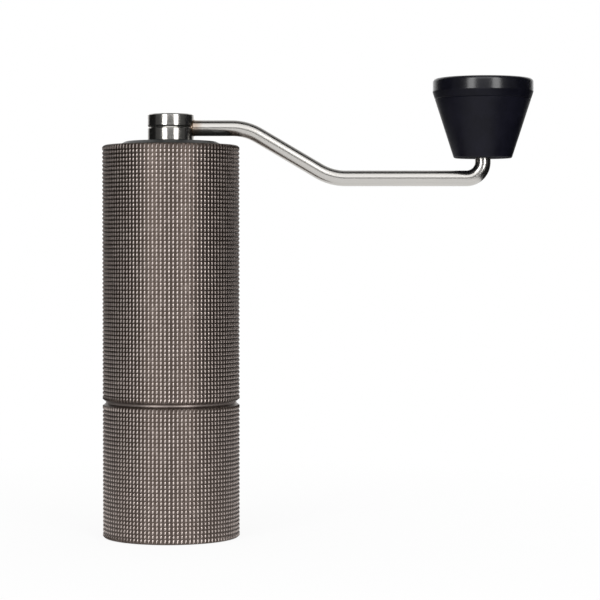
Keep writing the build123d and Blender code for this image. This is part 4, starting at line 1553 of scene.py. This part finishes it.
@dataclass
class Studio:
    """Pale floor, soft boxes in front, above and behind, grey flags round the set, and the camera. Metres."""

    middle: Point = (0.03, 0.0, 0.09)
    box_distance: float = 1.6
    strip_angle: float = 28.5
    strip_size: tuple[float, float] = (0.48, 1.5)
    strip_height: float = 0.45
    strip_power: float = 11.0
    top_angle: float = 42.0
    top_size: tuple[float, float] = (1.8, 1.75)
    top_power: float = 12.5
    back_angle: float = 15.0
    back_size: tuple[float, float] = (2.4, 2.0)
    back_power: float = 8.0
    fill: float = 0.5
    floor_half: float = 4.0
    floor_z: float = -0.0002
    floor_colour: Colour = (0.86, 0.86, 0.86)
    shadow_reach: tuple[float, float] = (0.03, 0.30)
    shadow_white: tuple[float, float] = (0.90, 1.0)
    flag_x: float = 1.7
    flag_front: float = -2.3
    flag_dark: tuple[float, float] = (-0.36, 1.6)
    flag_back: float = 6.0
    flag_top: float = 2.2
    flag_top_turn: float = 0.4
    flag_low_x: float = 0.25
    flag_low_z: float = 0.001
    flag_greys: dict[str, float] = field(
        default_factory=lambda: {"dark": 0.012, "side": 0.07, "front": 0.15, "back": 0.35}
    )
    camera_place: Point = (0.0490, -0.806, 0.1101)
    camera_pitch: float = 1.43
    camera_near: float = 0.05
    lens: float = 127.2
    sensor: float = 36.0

    def build(self) -> None:
        """Sets up world, floor, flags, soft boxes and camera."""
        bpy.context.scene.view_settings.view_transform = "Standard"
        self._world()
        self._floor()
        self._flags()
        for side in (-1.0, 1.0):
            self._soft_box(side * self.strip_angle, 0.0, self.strip_height, self.strip_size, self.strip_power)
        self._soft_box(0.0, self.top_angle, self.middle[2], self.top_size, self.top_power)
        self._soft_box(180.0, self.back_angle, self.middle[2], self.back_size, self.back_power)
        self._camera()

    @staticmethod
    def _seen(sockets: Sockets) -> Socket:
        """Tells rays that show the set from rays that light it.

        Args:
            sockets: nodes of the set's material or world.

        Returns:
            1 where a ray comes from the camera or from a mirror or glass, and 0 elsewhere.
        """
        path = sockets.node("LightPath").outputs
        seen = sockets.math("MAXIMUM", path["Is Camera Ray"], path["Is Glossy Ray"])
        return sockets.math("MAXIMUM", seen, path["Is Transmission Ray"])

    def _world(self) -> None:
        """White behind the object, and a plain soft fill on it."""
        world = bpy.data.worlds.new("studio")
        bpy.context.scene.world = world
        sockets = Sockets.fresh(world)
        fill = sockets.node("Background", Color=(1.0, 1.0, 1.0), Strength=self.fill)
        white = sockets.node("Background", Color=(1.0, 1.0, 1.0), Strength=1.0)
        sockets.node("OutputWorld", Surface=sockets.mix_shaders(self._seen(sockets), fill, white))

    def _floor(self) -> None:
        """Pale floor that keeps a part of the object's shadow."""
        half, level = self.floor_half, self.floor_z
        floor = self._sheet("floor", (-half, -half, level), (half, half, level))
        material = bpy.data.materials.new("pale_floor")
        sockets = Sockets.fresh(material)
        lit = sockets.node("BsdfDiffuse", Color=self.floor_colour)
        white = sockets.node("Emission", Color=(1.0, 1.0, 1.0), Strength=1.0)
        away = sockets.node("VectorMath", {"operation": "LENGTH"})
        sockets.feed(away.inputs[0], sockets.node("TexCoord").outputs["Object"])
        pale = sockets.span(away.outputs["Value"], *self.shadow_reach, *self.shadow_white)
        share = sockets.math("MULTIPLY", self._seen(sockets), pale)
        sockets.node("OutputMaterial", Surface=sockets.mix_shaders(share, lit, white))
        floor.data.materials.append(material)

    def _flags(self) -> None:
        """Grey cards round the set that only mirrors see, as metal is photographed."""
        wide, front, back, top = self.flag_x, self.flag_front, self.flag_back, self.flag_top
        turn, low, (dark_start, dark_end) = self.flag_top_turn, self.flag_low_z, self.flag_dark
        sides = {"side": (front, dark_start), "dark": self.flag_dark, "back": (dark_end, back)}
        cards = {
            "flag_front": ("front", (-wide, front, 0.0), (wide, front, top)),
            "flag_top": ("dark", (-wide, front, top), (wide, turn, top)),
            "flag_top_back": ("back", (-wide, turn, top), (wide, back, top)),
        }
        for name, x in (("left", -wide), ("right", wide)):
            for kind, (start, end) in sides.items():
                cards[f"flag_{kind}_{name}"] = (kind, (x, start, 0.0), (x, end, top))
            cards["flag_low_" + name] = ("dark", (x, front, low), (math.copysign(self.flag_low_x, x), back, low))
        for name, (kind, first, last) in cards.items():
            material = bpy.data.materials.new("card_" + kind)
            sockets = Sockets.fresh(material)
            glow = sockets.node("Emission", Color=(self.flag_greys[kind],) * 3, Strength=1.0)
            sockets.node("OutputMaterial", Surface=glow.outputs[0])
            card = self._sheet(name, first, last)
            card.data.materials.append(material)
            card.visible_camera = card.visible_diffuse = card.visible_shadow = False

    @staticmethod
    def _sheet(name: str, first: Point, last: Point) -> Piece:
        """Makes a flat four-cornered sheet of the set, square to an axis.

        Args:
            name: the sheet's name.
            first: one of its corners.
            last: the corner across from it, at the same place along that axis.

        Returns:
            The sheet.
        """
        across, up = (axis for axis in range(3) if first[axis] != last[axis])
        corners = np.array([first, first, last, first])
        corners[1, across], corners[3, up] = last[across], last[up]
        mesh = bpy.data.meshes.new(name)
        mesh.from_pydata(corners.tolist(), [], [(0, 1, 2, 3)])
        sheet = bpy.data.objects.new(name, mesh)
        bpy.context.scene.collection.objects.link(sheet)
        return sheet

    def _soft_box(self, turn: float, rise: float, height: float, size: tuple[float, float], power: float) -> None:
        """Soft box at its distance from the object, turned to it.

        Args:
            turn: angle to the right of the camera's side, in degrees.
            rise: angle above the level, in degrees.
            height: level of the point that it faces.
            size: width and height.
            power: lamp power in watts.
        """
        lamp = bpy.data.lights.new("soft_box", "AREA")
        lamp.shape = "RECTANGLE"
        lamp.size, lamp.size_y = size
        lamp.energy = power
        turned, risen = math.radians(turn), math.radians(rise)
        box = bpy.data.objects.new("soft_box", lamp)
        level_distance = self.box_distance * math.cos(risen)
        box.location = (
            self.middle[0] + level_distance * math.sin(turned),
            -level_distance * math.cos(turned),
            height + self.box_distance * math.sin(risen),
        )
        box.rotation_euler = (math.radians(90.0) - risen, 0.0, turned)
        bpy.context.scene.collection.objects.link(box)

    def _camera(self) -> None:
        """Camera at the place and with the view of the photograph."""
        lens = bpy.data.cameras.new("camera")
        lens.sensor_width = self.sensor
        lens.lens = self.lens
        lens.clip_start = self.camera_near
        camera = bpy.data.objects.new("camera", lens)
        camera.location = self.camera_place
        camera.rotation_euler = (math.radians(90.0 - self.camera_pitch), 0.0, 0.0)
        bpy.context.scene.collection.objects.link(camera)
        bpy.context.scene.camera = camera


def main() -> None:
    """Sets up the studio, then builds every sub-assembly in order."""
    logging.basicConfig(level=logging.INFO, format="%(name)s: %(message)s")
    Studio().build()
    for assembly in (CatchCup(), GrinderBody(), Lid(), Crank(), Knob(), BurrSpring(), Mechanism()):
        for piece in assembly.build():
            LOG.info("%s: %s, %d faces", type(assembly).__name__, piece.name, len(piece.data.polygons))


if __name__ == "__main__":
    main()
